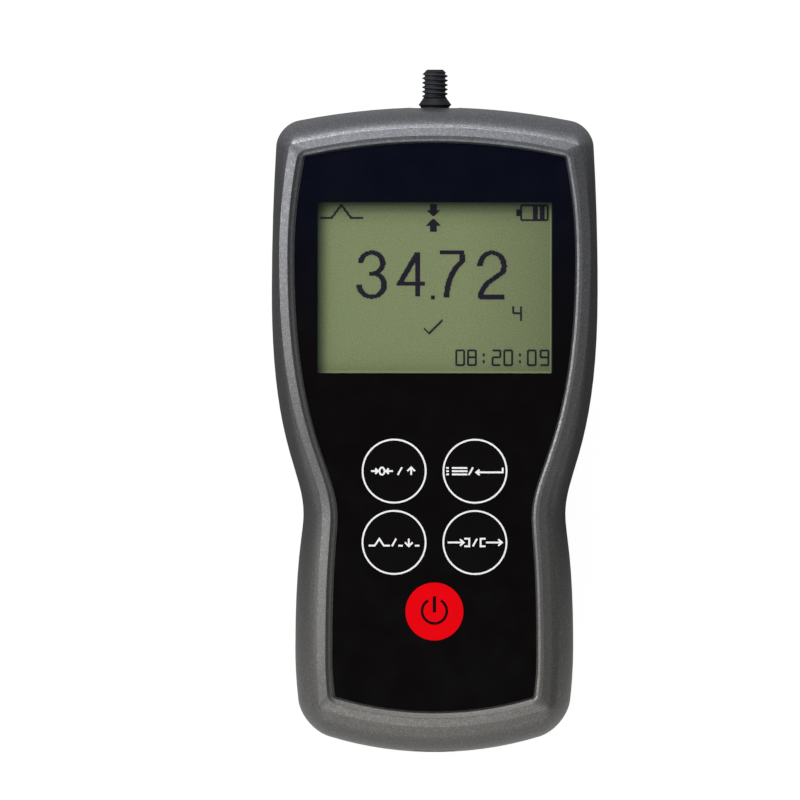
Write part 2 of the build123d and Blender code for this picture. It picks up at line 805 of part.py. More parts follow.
def strain_gauges():
    """The four foil gauges on the thin walls of the load cell, over and under its eyes."""
    middle_y = (cell_top_y + cell_bottom_y) / 2
    face = cell_length / 2 - cell_arm - cell_slot
    foils = Part()
    for end in (-1, 1):
        foil_y = middle_y + end * (face + gauge_thickness / 2)
        for side in (-1, 1):
            foils += Pos(side * cell_eye_spacing / 2, foil_y, shaft_z) * Box(
                gauge_length, gauge_thickness, gauge_width)
    return foils


def measuring_shaft():
    """The shaft that carries the load: stud, cone, stop groove, flange and spigot."""
    stud = stud_diameter / 2
    tip = stud_tip_diameter / 2
    neck = neck_diameter / 2
    collar = collar_diameter / 2
    bar = shaft_diameter / 2
    groove = stop_groove_diameter / 2
    flange = flange_diameter / 2
    spigot = spigot_diameter / 2
    collar_y = top_y + collar_rise
    neck_y = collar_y + collar_cone
    tip_y = neck_y + stud_thread_length
    groove_end = stop_y + stop_plate_thickness + stop_clearance
    profile = Polyline(
        (0, cell_top_y - spigot_length),
        (spigot, cell_top_y - spigot_length),
        (spigot, cell_top_y),
        (flange, cell_top_y),
        (flange, flange_end_y),
        (groove, flange_end_y),
        (groove, groove_end),
        (bar, groove_end),
        (bar, top_y),
        (collar, collar_y),
        (neck, neck_y),
        (stud, neck_y + (stud - neck)),
        (stud, tip_y - (stud - tip)),
        (tip, tip_y),
        (0, tip_y),
        close=True,
    )
    return Pos(0, 0, shaft_z) * revolve(make_face(profile), Axis.Y)


def shaft_bush():
    """The bush that guides the shaft where it leaves the body, trapped between the shells."""
    ring = lying_bar((0, shaft_z), bush_inner_y, bush_outer_y, bush_diameter)
    return ring - lying_bar((0, shaft_z), bush_inner_y - 1, bush_outer_y + 1,
                            shaft_diameter + 2 * shaft_gap)


def overload_stop():
    """The forked plate in the groove of the shaft, which limits its travel both ways."""
    low = shell_wall + 1
    high = shaft_z + cell_thickness / 2
    centre_z = (low + high) / 2
    blank = Box(stop_plate_width, stop_plate_thickness, high - low)
    blank = fillet(blank.edges().filter_by(Axis.Y), 1.0)
    fork = Pos(0, stop_y + stop_plate_thickness / 2, centre_z) * blank
    slot = stop_groove_diameter + 2 * stop_clearance
    fork -= lying_bar((0, shaft_z), stop_y - 1, stop_y + stop_plate_thickness + 1, slot)
    return fork - Pos(0, stop_y + stop_plate_thickness / 2, shaft_z) * Box(
        slot, stop_plate_thickness + 2, 20, align=BOTTOM)


def cell_bracket():
    """The angle bracket that holds the foot of the load cell to the back shell."""
    centre_y = cell_bottom_y - bracket_base_length / 2
    base = plate(bracket_width, bracket_base_length, (0, centre_y), bracket_height,
                 bracket_top_z, 2.0)
    upright_height = shaft_z + cell_thickness / 2 - bracket_height
    upright = Pos(0, cell_bottom_y - bracket_thickness / 2, bracket_height) * Box(
        bracket_width, bracket_thickness, upright_height, align=BOTTOM)
    bracket = base + upright
    for place in bracket_places:
        bracket -= post(place, 0, bracket_top_z + 1, bracket_screw_diameter + screw_clearance)
    for side in (-1, 1):
        bracket -= lying_bar((side * cell_screw_x, shaft_z), cell_bottom_y - bracket_thickness - 1,
                             cell_bottom_y + 1, cell_screw_diameter + screw_clearance)
    return bracket


def cell_screws():
    """The two screws that clamp the foot of the load cell to its bracket."""
    screws = Part()
    for side in (-1, 1):
        screw = pan_screw(cell_screw_diameter, cell_screw_length, cell_screw_head,
                          cell_screw_head_height)
        place = Pos(side * cell_screw_x, cell_bottom_y - bracket_thickness, shaft_z)
        screws += place * Rot(-90, 0, 0) * screw
    return screws


def bracket_screws():
    """The four screws that hold the cell bracket down on its posts."""
    screws = Part()
    for x, y in bracket_places:
        screw = pan_screw(bracket_screw_diameter, bracket_screw_length, bracket_screw_head,
                          bracket_screw_head_height)
        screws += Pos(x, y, bracket_top_z) * Rot(180, 0, 0) * screw
    return screws


def battery_places():
    """The X places of the battery cells, side by side."""
    first = -(battery_count - 1) * battery_pitch / 2
    return [first + index * battery_pitch for index in range(battery_count)]


def battery_holder():
    """The moulded tray with a round trough for each battery cell."""
    low = shell_wall + pad_thickness
    tray = plate(tray_width, tray_length, (0, battery_centre_y), low, low + tray_height, 1.5)
    start = tray_start_y + tray_wall
    end = tray_start_y + tray_length - tray_wall
    for x in battery_places():
        tray -= lying_bar((x, battery_z), start, end, battery_diameter + 2 * tray_gap)
    return tray


def battery_cells():
    """The rechargeable cells, with a contact nub at alternate ends."""
    cells = Part()
    for index, x in enumerate(battery_places()):
        end = 1 if index % 2 == 0 else -1
        can = Pos(x, battery_centre_y - end * battery_nub_length / 2, battery_z) * Rot(90, 0, 0) * (
            Cylinder(battery_diameter / 2, battery_length))
        can = chamfer(can.edges().filter_by(GeomType.CIRCLE), battery_edge)
        nub_y = battery_centre_y + end * battery_length / 2
        nub = Pos(x, nub_y, battery_z) * Rot(90, 0, 0) * Cylinder(
            battery_nub_diameter / 2, battery_nub_length)
        cells += can + nub
    return cells


def battery_contacts():
    """The sprung metal plates at both ends of every cell."""
    plates = Part()
    reach = tray_length / 2 - tray_wall - contact_thickness / 2
    for x in battery_places():
        for end in (-1, 1):
            plates += Pos(x, battery_centre_y + end * reach, battery_z) * Box(
                contact_width, contact_thickness, contact_width)
    return plates


def battery_pad():
    """The foam pad between the tray and the back shell."""
    return plate(tray_width - 2 * pad_margin, tray_length - 2 * pad_margin,
                 (0, battery_centre_y), shell_wall, shell_wall + pad_thickness, 1.0)


def case_screws():
    """The four long screws that join the two shells from the back."""
    screws = Part()
    for x, y in case_screw_places:
        screws += Pos(x, y, case_screw_seat) * pan_screw(
            case_screw_diameter, case_screw_length, case_screw_head, case_screw_head_height)
    return screws


def mount_inserts():
    """The four threaded brass inserts, flush with the back face."""
    inserts = Part()
    for place in mount_places:
        sleeve = post(place, 0, insert_length, insert_diameter)
        inserts += sleeve - post(place, -1, insert_length + 1, mount_thread_diameter)
    return inserts


NODES = {
    "front_housing": front_housing,
    "rear_housing": rear_housing,
    "panel_overlay": panel_overlay,
    "display_window": display_window,
    "lcd_glass": lcd_glass,
    "lcd_backlight": lcd_backlight,
    "lcd_frame": lcd_frame,
    "key_switches": key_switches,
    "main_board": main_board,
    "board_chips": board_chips,
    "board_screws": board_screws,
    "buzzer": buzzer,
    "data_socket": data_socket,
    "data_socket_core": data_socket_core,
    "load_cell": load_cell,
    "strain_gauges": strain_gauges,
    "measuring_shaft": measuring_shaft,
    "shaft_bush": shaft_bush,
    "overload_stop": overload_stop,
    "cell_bracket": cell_bracket,
    "cell_screws": cell_screws,
    "bracket_screws": bracket_screws,
    "battery_holder": battery_holder,
    "battery_cells": battery_cells,
    "battery_contacts": battery_contacts,
    "battery_pad": battery_pad,
    "case_screws": case_screws,
    "mount_inserts": mount_inserts,
}

os.makedirs("parts", exist_ok=True)
for node_name, make_piece in NODES.items():
    export_step(make_piece(), f"parts/{node_name}.step")
for key_name in KEY_PLACES:
    export_step(key(key_name), f"parts/key_{key_name}.step")
    export_step(switch_actuator(key_name), f"parts/actuator_{key_name}.step")
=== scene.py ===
"""Looks of the digital force gauge: paint, display, key prints, stud thread and studio."""

import math

import bpy
import numpy as np
from bpy.props import FloatProperty, FloatVectorProperty, IntProperty, PointerProperty, StringProperty
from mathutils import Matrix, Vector


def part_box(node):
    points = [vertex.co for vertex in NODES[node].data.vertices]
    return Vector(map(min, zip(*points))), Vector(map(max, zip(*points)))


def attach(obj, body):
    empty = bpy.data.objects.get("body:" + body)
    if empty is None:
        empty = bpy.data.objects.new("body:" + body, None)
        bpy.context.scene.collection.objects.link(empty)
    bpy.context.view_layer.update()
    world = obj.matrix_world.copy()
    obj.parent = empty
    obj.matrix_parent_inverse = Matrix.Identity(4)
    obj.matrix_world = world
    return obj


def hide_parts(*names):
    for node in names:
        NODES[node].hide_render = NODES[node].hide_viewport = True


bl_info = {
    "name": "Digital Force Gauge Looks",
    "version": (1, 0, 0),
    "blender": (4, 5, 0),
    "location": "3D View > Sidebar > Force Gauge",
    "description": "Finishes, display, prints and studio of a digital force gauge",
    "category": "Object",
}

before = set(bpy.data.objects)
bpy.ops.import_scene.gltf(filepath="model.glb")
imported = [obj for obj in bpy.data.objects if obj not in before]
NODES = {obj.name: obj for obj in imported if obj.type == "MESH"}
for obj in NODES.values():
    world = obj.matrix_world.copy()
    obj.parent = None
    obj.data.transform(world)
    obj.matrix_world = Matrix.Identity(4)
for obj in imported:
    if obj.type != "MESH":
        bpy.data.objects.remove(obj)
MM = 0.001
BLACK_KEYS = ("zero", "menu", "peak", "send")
COLLAR_RADIUS = 3.7 * MM


def linear(red, green, blue):
    """A colour given as 0 to 255 screen values, in the linear values that shaders take, by the
    usual curve of screens: straight near black and a power above that."""
    shares = np.array((red, green, blue), float) / 255
    bright = ((shares + 0.055) / 1.055) ** 2.4
    return tuple(float(v) for v in np.where(shares <= 0.04045, shares / 12.92, bright))


def colour_property(name, description, value):
    """A colour that shows as a swatch in the sidebar."""
    return FloatVectorProperty(name=name, description=description, subtype="COLOR", size=3,
                               min=0, max=1, default=value)


def length_property(name, description, value):
    """A length in metres that shows with its unit in the sidebar."""
    return FloatProperty(name=name, description=description, subtype="DISTANCE", unit="LENGTH",
                         default=value, precision=5)


def power_property(name, description, value):
    """A light's power in watts that shows with its unit in the sidebar."""
    return FloatProperty(name=name, description=description, subtype="POWER", unit="POWER",
                         default=value)


class HousingSettings(bpy.types.PropertyGroup):
    """Paint of the two shells and blacks of the front panel"""

    paint: colour_property("Paint", "Base colour of the paint on both shells", linear(110, 111, 117))
    fleck: colour_property("Fleck", "Colour of the light flecks in the paint", linear(144, 146, 149))
    # Paint of the lower end: a warmer tint, and lighter by painted light for the stronger light on that
    # end.
    warm: colour_property("Paint, lower end", "Base colour of the paint far from the stud",
                          linear(125, 123, 117))
    grain: length_property("Grain", "Size of the flecks in the paint", 0.25 * MM)
    # Panel black near the stud, tinted blue as a painted reflection.
    panel_top: colour_property("Panel, upper end", "Black of the panel near the stud",
                               linear(8, 11, 24))
    panel_foot: colour_property("Panel, lower end", "Black of the panel at the other end",
                                linear(10, 8, 9))


class DisplaySettings(bpy.types.PropertyGroup):
    """The liquid-crystal display and what it shows"""

    reading: StringProperty(name="Reading", description="Number in the large digits", default="34.72")
    clock: StringProperty(name="Clock", description="Number in the small digits", default="08:20:09")
    range_number: IntProperty(name="Range", description="Small digit right of the reading", default=4,
                              min=0, max=9)
    pitch: length_property("Dot pitch", "Distance between the display's dots", 0.22 * MM)
    gap: length_property("Dot gap", "Gap between the display's dots", 0.01 * MM)
    columns: IntProperty(name="Columns", description="Dots across the display", default=240, min=16)
    rows: IntProperty(name="Rows", description="Dots along the display", default=174, min=16)
    ground: colour_property("Ground", "Colour of the unlit display", linear(137, 149, 107))
    dot: colour_property("Dots", "Colour of the lit dots", linear(24, 18, 40))


class PrintSettings(bpy.types.PropertyGroup):
    """Rings and signs printed on the keys"""

    ring_line: length_property("Ring line", "Width of the white rings", 0.39 * MM)
    ring_inset: length_property("Ring inset", "From a key's edge to its ring", 0.18 * MM)
    sign_line: length_property("Sign line", "Width of the lines of the white signs", 0.4 * MM)
    sign_height: length_property("Sign height", "Height of the white signs", 2.1 * MM)
    power_diameter: length_property("Power sign", "Diameter of the power sign", 6.15 * MM)
    power_line: length_property("Power sign line", "Width of the power sign's lines", 0.6 * MM)
    ink: length_property("Ink", "Thickness of the printed ink", 0.03 * MM)
    red: colour_property("Power key", "Colour of the power key", (0.83, 0.0, 0.004))


class StudSettings(bpy.types.PropertyGroup):
    """Threads of the measuring stud and of the mounting inserts"""

    stud_pitch: length_property("Stud pitch", "Pitch of the stud's thread", 1.0 * MM)
    stud_depth: length_property("Stud depth", "Depth of the stud's thread", 0.6 * MM)
    insert_pitch: length_property("Insert pitch", "Pitch of the inserts' thread", 0.7 * MM)
    insert_depth: length_property("Insert depth", "Depth of the inserts' thread", 0.38 * MM)
    around: IntProperty(name="Faces around", description="Faces around a thread", default=96, min=24)


class StudioSettings(bpy.types.PropertyGroup):
    """Lights, floor and camera"""

    top_power: power_property("Upper light", "Power of the light past the stud", 2.3)
    left_power: power_property("Left light", "Power of the light on the left", 1.75)
    foot_power: power_property("Lower light", "Power of the light below the keys", 0.65)
    surround: FloatProperty(name="Surround", description="Light from all round", default=0.08, min=0)
    ends: FloatProperty(name="Ends", description="Light from beyond both ends of the gauge",
                        default=0.8, min=0)
    left: FloatProperty(name="Left side", description="Light from the left side", default=0.25, min=0)
    picture_width: length_property("Picture width", "Width of what the camera sees", 179.9 * MM)
    distance: length_property("Camera distance", "Height of the camera over the gauge", 8.0)


SETTING_GROUPS = {
    "gauge_housing": HousingSettings,
    "gauge_display": DisplaySettings,
    "gauge_prints": PrintSettings,
    "gauge_threads": StudSettings,
    "gauge_studio": StudioSettings,
}


# Meshes


def grid_faces(rows, columns):
    """Quads between the points of a grid that is stored row by row, with its last column joined
    to its first."""
    row, column = np.meshgrid(np.arange(rows - 1), np.arange(columns), indexing="ij")
    beside = (column + 1) % columns
    corners = (row * columns + column, row * columns + beside,
               (row + 1) * columns + beside, (row + 1) * columns + column)
    return np.stack([corner.ravel() for corner in corners], axis=1)


def make_mesh(name, points, quads, caps=()):
    """A mesh from an array of points, an array of quads and a few larger faces."""
    mesh = bpy.data.meshes.new(name)
    mesh.vertices.add(len(points))
    mesh.vertices.foreach_set("co", np.asarray(points, np.float32).ravel())
    quads = np.asarray(quads, np.int64).reshape(-1, 4)
    loops = np.concatenate([quads.ravel()] + [np.asarray(cap, np.int64) for cap in caps])
    sizes = np.concatenate([np.full(len(quads), 4)] + [[len(cap)] for cap in caps]).astype(int)
    mesh.loops.add(len(loops))
    mesh.loops.foreach_set("vertex_index", loops)
    mesh.polygons.add(len(sizes))
    mesh.polygons.foreach_set("loop_start", np.concatenate([[0], np.cumsum(sizes)[:-1]]))
    mesh.update(calc_edges=True)
    mesh.validate()
    return mesh


def place_piece(name, mesh, body, material, sharp=math.radians(32)):
    """Puts a finished mesh into the scene as a piece that rides on a body."""
    mesh.shade_smooth()
    mesh.set_sharp_from_angle(angle=sharp)
    mesh.materials.append(material)
    piece = bpy.data.objects.new(name, mesh)
    bpy.context.scene.collection.objects.link(piece)
    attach(piece, body)
    return piece


def arc_path(centre, radii, start, end, count=24):
    """Points on a part of an ellipse, centre + (radius cos a, other radius sin a), with its angles
    in degrees."""
    angle = np.radians(np.linspace(start, end, count))
    return np.stack([centre[0] + radii[0] * np.cos(angle), centre[1] + radii[1] * np.sin(angle)], axis=1)


def ribbon(path, width, low, high, closed=False):
    """Points and faces of a flat line of ink: the path is moved half a width to both sides along
    its normals, and given a bottom and a top. At a corner the normal is lengthened so that the
    width stays, by no more than one over the least stretch."""
    least_stretch = 0.4
    path = np.asarray(path, float)
    ahead = np.roll(path, -1, axis=0) - path
    if not closed:
        ahead[-1] = ahead[-2]
    ahead /= np.linalg.norm(ahead, axis=1, keepdims=True)
    behind = np.roll(ahead, 1, axis=0)
    if not closed:
        behind[0] = ahead[0]
    normal = np.stack([-(ahead + behind)[:, 1], (ahead + behind)[:, 0]], axis=1)
    normal /= np.linalg.norm(normal, axis=1, keepdims=True)
    stretch = np.maximum(-normal[:, 0] * ahead[:, 1] + normal[:, 1] * ahead[:, 0], least_stretch)
    side = normal * (width / 2 / stretch)[:, None]
    corners = [(path - side, low), (path + side, low), (path + side, high), (path - side, high)]
    rows = [np.column_stack([flat, np.full(len(path), height)]) for flat, height in corners]
    points = np.stack(rows, axis=1).reshape(-1, 3)
    faces = grid_faces(len(path) + (1 if closed else 0), 4) % len(points)
    caps = [] if closed else [(3, 2, 1, 0), tuple(range(len(points) - 4, len(points)))]
    return points, faces[:, ::-1], [cap[::-1] for cap in caps]


def joined(shapes):
    """Several (points, quads, caps) as one, each with its own points."""
    first = 0
    points, quads, caps = [], [], []
    for shape_points, shape_quads, shape_caps in shapes:
        points.append(shape_points)
        quads.append(np.asarray(shape_quads) + first)
        caps += [tuple(index + first for index in cap) for cap in shape_caps]
        first += len(shape_points)
    return np.concatenate(points), np.concatenate(quads), caps


def boxes(x, y, width, low, high):
    """Points and quads of square blocks of one width, centred on the places x, y."""
    half = width / 2
    corner_x = np.array([-half, half, half, -half] * 2)
    corner_y = np.array([-half, -half, half, half] * 2)
    corner_z = np.array([low] * 4 + [high] * 4)
    points = np.stack(
        [x[:, None] + corner_x, y[:, None] + corner_y, np.broadcast_to(corner_z, (len(x), 8))], axis=2)
    faces = np.array([(3, 2, 1, 0), (4, 5, 6, 7), (0, 1, 5, 4), (1, 2, 6, 5), (2, 3, 7, 6), (3, 0, 4, 7)])
    quads = (np.arange(len(x))[:, None, None] * 8 + faces).reshape(-1, 4)
    return points.reshape(-1, 3), quads, []


def thread_share(turns):
    """Height of a thread, 0 at its root and 1 at its crest, over the turns along it: a root flat
    of a quarter of the pitch, a crest flat of an eighth and straight flanks between them."""
    root_flat, crest_flat = 0.25, 0.125
    from_crest = np.abs(turns % 1.0 - 0.5) * 2
    return np.clip((1 - root_flat - from_crest) / (1 - root_flat - crest_flat), 0, 1)


# Materials


class NodeTree:
    """A tree of shading nodes, with short ways to add to it."""

    def __init__(self, tree):
        self.tree = tree

    def add(self, kind, inputs=None, **settings):
        """A node with its settings, and with its inputs set or joined."""
        node = self.tree.nodes.new(kind)
        for key, value in settings.items():
            setattr(node, key, value)
        for key, value in (inputs or {}).items():
            if isinstance(value, bpy.types.NodeSocket):
                self.join(value, node.inputs[key])
            else:
                node.inputs[key].default_value = value
        return node

    def join(self, output, socket):
        """Joins a node's output to a socket."""
        self.tree.links.new(output, socket)

    def spread(self, value, low, high, out_low=0.0, out_high=1.0, **settings):
        """The value's range from low to high, spread over another range."""
        return self.add("ShaderNodeMapRange", {"Value": value, "From Min": low, "From Max": high,
                                               "To Min": out_low, "To Max": out_high},
                        **settings).outputs["Result"]

    def calculate(self, operation, first, second=0.0, third=0.0):
        """One operation on two or three values."""
        return self.add("ShaderNodeMath", {0: first, 1: second, 2: third},
                        operation=operation).outputs[0]


class Finish(NodeTree):
    """A material's node tree around one shader."""

    def __init__(self, name, colour, roughness=0.5, metallic=0.0, specular=0.5):
        self.material = bpy.data.materials.new(name)
        self.material.use_nodes = True
        super().__init__(self.material.node_tree)
        self.shader = self.tree.nodes["Principled BSDF"]
        self.shader.inputs["Base Color"].default_value = (*colour, 1)
        self.shader.inputs["Roughness"].default_value = roughness
        self.shader.inputs["Metallic"].default_value = metallic
        self.shader.inputs["Specular IOR Level"].default_value = specular
        self.place = self.add("ShaderNodeTexCoord").outputs["Object"]

    def noise(self, size, detail=2.0, roughness=0.5):
        """Noise whose spots are about as large as size, in metres."""
        return self.add("ShaderNodeTexNoise", {"Vector": self.place, "Scale": 1 / size,
                                               "Detail": detail, "Roughness": roughness}).outputs["Fac"]

    def cells(self, size):
        """A random grey for each cell of about the given size, in metres."""
        node = self.add("ShaderNodeTexVoronoi", {"Vector": self.place, "Scale": 1 / size})
        grey = self.add("ShaderNodeSeparateColor", {"Color": node.outputs["Color"]})
        return grey.outputs["Red"]

    def mix(self, share, first, second):
        """A mix of two colours. The node takes its share at socket 0 and its colours at sockets 6
        and 7, and gives its result at output 2."""
        colours = [value if isinstance(value, bpy.types.NodeSocket) else (*value, 1)
                   for value in (first, second)]
        return self.add("ShaderNodeMix", {0: share, 6: colours[0], 7: colours[1]},
                        data_type="RGBA").outputs[2]

    def axis(self, name):
        """One coordinate of the place on the object."""
        return self.add("ShaderNodeSeparateXYZ", {"Vector": self.place}).outputs[name]

    def colour(self, output):
        """Joins a colour to the shader."""
        self.join(output, self.shader.inputs["Base Color"])

    def roughness(self, output):
        """Joins a roughness to the shader."""
        self.join(output, self.shader.inputs["Roughness"])

    def bump(self, height, depth):
        """Bump of the given depth in metres."""
        node = self.add("ShaderNodeBump", {"Height": height, "Distance": depth, "Strength": 1.0})
        self.join(node.outputs["Normal"], self.shader.inputs["Normal"])


def scaled(colour, share):
    """A colour with each of its values times a share, none of them over 1."""
    return tuple(min(value * share, 1.0) for value in colour)


def plain_finish(name, colour, roughness, metallic=0.0, grain=0.3 * MM, depth=0.004 * MM,
                 unevenness=0.12, specular=0.5):
    """A moulded or machined surface: fine grain in its relief and slow changes of its shade."""
    finish = Finish(name, colour, roughness, metallic, specular)
    slow = finish.noise(grain * 25, detail=3)
    fine = finish.noise(grain, detail=2)
    finish.colour(finish.mix(finish.spread(slow, 0.3, 0.7), scaled(colour, 1 - unevenness),
                             scaled(colour, 1 + unevenness)))
    finish.roughness(finish.spread(fine, 0.2, 0.8, roughness * 0.85, min(roughness * 1.15, 1.0)))
    finish.bump(fine, depth)
    return finish.material


def housing_paint(settings):
    """Gunmetal paint with fine metal flecks in it, a little warmer and lighter away from the stud; the
    lightening is painted light for the stronger light on that end. Its relief is a fine cloud with
    the flecks a third as high on it."""
    finish = Finish("gunmetal_paint", settings.paint, roughness=0.37, metallic=0.75)
    low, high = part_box("front_housing")
    shadow, fleck_height, relief_depth = 0.15, 0.35, 0.006 * MM
    cloud_size = settings.grain * 1.7
    flecks = finish.cells(settings.grain)
    cloud = finish.noise(cloud_size, detail=3, roughness=0.7)
    light = finish.calculate("MULTIPLY", finish.spread(flecks, 0.25, 1.0), finish.spread(cloud, 0.3, 0.7))
    # Painted light: the paint turns lighter and warmer towards the lower end, standing in for the
    # stronger light there.
    base = finish.mix(finish.spread(finish.axis("Y"), low.y, high.y), settings.warm, settings.paint)
    dark = finish.mix(shadow, base, (0, 0, 0))
    finish.colour(finish.mix(light, dark, settings.fleck))
    finish.roughness(finish.spread(flecks, 0.0, 1.0, 0.42, 0.32))
    relief = finish.calculate("MULTIPLY_ADD", flecks, fleck_height, cloud)
    finish.bump(relief, relief_depth)
    return finish.material


def panel_finish(settings):
    """The front panel's black film: nearly smooth, with a painted bluish reflection growing towards the
    stud.
    """
    finish = Finish("panel_film", settings.panel_foot, roughness=0.24, specular=0.2)
    lower_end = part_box("display_window")[1].y - 34 * MM
    upper_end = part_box("panel_overlay")[1].y - 6 * MM
    # Painted reflection: the black turns bluer towards the stud.
    along = finish.spread(finish.axis("Y"), lower_end, upper_end)
    finish.colour(finish.mix(along, settings.panel_foot, settings.panel_top))
    haze = finish.noise(6 * MM, detail=4)
    finish.roughness(finish.spread(haze, 0.3, 0.7, 0.19, 0.26))
    finish.bump(finish.noise(0.5 * MM, detail=2), 0.0015 * MM)
    return finish.material


def clear_pane_finish():
    """The clear pane: mostly see-through, with a thin reflection."""
    finish = Finish("clear_pane", (0.02, 0.022, 0.022), roughness=0.06)
    finish.shader.inputs["Alpha"].default_value = 0.06
    smear = finish.noise(9 * MM, detail=3)
    finish.roughness(finish.spread(smear, 0.3, 0.7, 0.04, 0.09))
    return finish.material


def display_finish(settings):
    """The display's reflector: grey-green, with painted shade along its upper and left edges where the
    opening shades it, a painted shade darkening it a little to the right and a thin painted highlight
    along its right and lower edges."""
    finish = Finish("display_ground", settings.ground, roughness=0.38, specular=0.3)
    low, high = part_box("display_window")
    hidden, top_depth, left_depth, far_width = 2.1 * MM, 2.7 * MM, 2.4 * MM, 20 * MM
    # Painted shade at the opening's right edge, then painted highlights along the right and lower edges.
    right_edge_shade, right_painted_highlight, foot_painted_highlight = (0.1 * MM, 0.3 * MM), (0.35 * MM, 0.6 * MM), (0.3 * MM, 0.6 * MM)
    shade_shares, pale_share, deep_share, painted_highlight_share = (0.06, 0.16, 0.25), 1.12, 0.82, 1.3
    far_shadow, painted_highlight_strength = 0.25, 0.8
    from_top = finish.calculate("SUBTRACT", high.y - hidden, finish.axis("Y"))
    from_foot = finish.calculate("SUBTRACT", finish.axis("Y"), low.y + hidden)
    from_left = finish.calculate("SUBTRACT", finish.axis("X"), low.x + hidden)
    from_right = finish.calculate("SUBTRACT", high.x - hidden, finish.axis("X"))
    top_light = finish.calculate("POWER", finish.spread(from_top, 0.0, top_depth), 0.6)
    left_light = finish.calculate("POWER", finish.spread(from_left, 0.0, left_depth), 0.5)
    # Painted shade: darker under the opening's upper and left edges and in a thin band at its right edge.
    light = finish.calculate("MULTIPLY", finish.calculate("MULTIPLY", top_light, left_light),
                             finish.spread(from_right, *right_edge_shade))
    shade = tuple(value * share for value, share in zip(settings.ground, shade_shares))
    mottle = finish.noise(0.38 * MM, detail=3, roughness=0.6)
    ground = finish.mix(finish.spread(mottle, 0.3, 0.7), scaled(settings.ground, deep_share),
                        scaled(settings.ground, pale_share))
    far = finish.mix(far_shadow, ground, (0, 0, 0))
    ground = finish.mix(finish.spread(from_right, 0.0, far_width), far, ground)
    # Painted highlight: a thin lighter band along the lower and right edges of the display.
    painted_highlight = finish.calculate("MAXIMUM", finish.spread(from_foot, *foot_painted_highlight, 1.0, 0.0),
                           finish.spread(from_right, *right_painted_highlight, 1.0, 0.0))
    ground = finish.mix(finish.calculate("MULTIPLY", painted_highlight, painted_highlight_strength), ground,
                        scaled(settings.ground, painted_highlight_share))
    finish.colour(finish.mix(light, shade, ground))
    finish.bump(finish.noise(0.25 * MM), 0.002 * MM)
    return finish.material


def oxide_finish():
    """Black oxide on turned steel: matte dark grey with a blue cast and worn lighter spots. Outside
    its thread the shaft is painted darker, a painted shade against the extra light its smooth cone
    catches."""
    finish = Finish("black_oxide", linear(48, 50, 54), roughness=0.6, metallic=0.3, specular=0.3)
    wear = finish.noise(1.4 * MM, detail=5, roughness=0.65)
    steel = finish.mix(finish.spread(wear, 0.35, 0.75), linear(46, 48, 52), linear(68, 71, 77))
    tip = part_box("measuring_shaft")[1].y
    thread_foot = (tip - 6.3 * MM, tip - 5.7 * MM)
    thread_end = (tip - 0.7 * MM, tip - 1.2 * MM)
    # Painted shade: outside the thread's span (plain shaft, cone and tip) the colour is painted darker.
    thread = finish.calculate("MULTIPLY", finish.spread(finish.axis("Y"), *thread_foot),
                              finish.spread(finish.axis("Y"), *thread_end))
    finish.colour(finish.mix(thread, linear(31, 33, 36), steel))
    finish.roughness(finish.spread(finish.noise(0.4 * MM, detail=3), 0.3, 0.7, 0.52, 0.68))
    finish.bump(finish.noise(0.12 * MM, detail=2), 0.004 * MM)
    return finish.material


def turned_metal(name, colour, roughness):
    """Machined metal with fine tool marks and slow changes of its shade."""
    finish = Finish(name, colour, roughness, metallic=1.0)
    marks = finish.noise(0.08 * MM, detail=2)
    finish.roughness(finish.spread(marks, 0.3, 0.7, roughness * 0.8, roughness * 1.25))
    slow = finish.noise(2.5 * MM, detail=4)
    finish.colour(finish.mix(finish.spread(slow, 0.3, 0.7), scaled(colour, 0.86), colour))
    finish.bump(marks, 0.003 * MM)
    return finish.material


def board_finish():
    """The circuit board's green mask, with copper tracks showing through as paler lines."""
    finish = Finish("board_mask", linear(18, 74, 46), roughness=0.32)
    size = 1.6 * MM
    brick = finish.add("ShaderNodeTexBrick", {
        "Vector": finish.place, "Scale": 1 / size, "Mortar Size": 0.05, "Mortar Smooth": 0.1,
        "Brick Width": 2.7, "Row Height": 0.55}).outputs["Fac"]
    finish.colour(finish.mix(brick, linear(14, 66, 40), linear(38, 112, 70)))
    finish.bump(brick, 0.02 * MM)
    return finish.material


class GaugeOperator(bpy.types.Operator):
    """Common to the gauge's operators"""

    bl_options = {"REGISTER", "UNDO"}


def dress(material, *names):
    """Gives CAD nodes a finished material in place of their plain ones."""
    for name in names:
        mesh = NODES[name].data
        mesh.materials.clear()
        mesh.materials.append(material)


class GAUGE_OT_paint_housings(GaugeOperator):
    """Paint the two shells and finish the front panel"""

    bl_idname = "gauge.paint_housings"
    bl_label = "Paint housings"

    def execute(self, context):
        settings = context.scene.gauge_housing
        dress(housing_paint(settings), "front_housing", "rear_housing")
        dress(panel_finish(settings), "panel_overlay")
        dress(clear_pane_finish(), "display_window")
        return {"FINISHED"}


# Display


FINE_PEN = (0.85, 0.85)
BROAD_PEN = (2.9, 2.1)


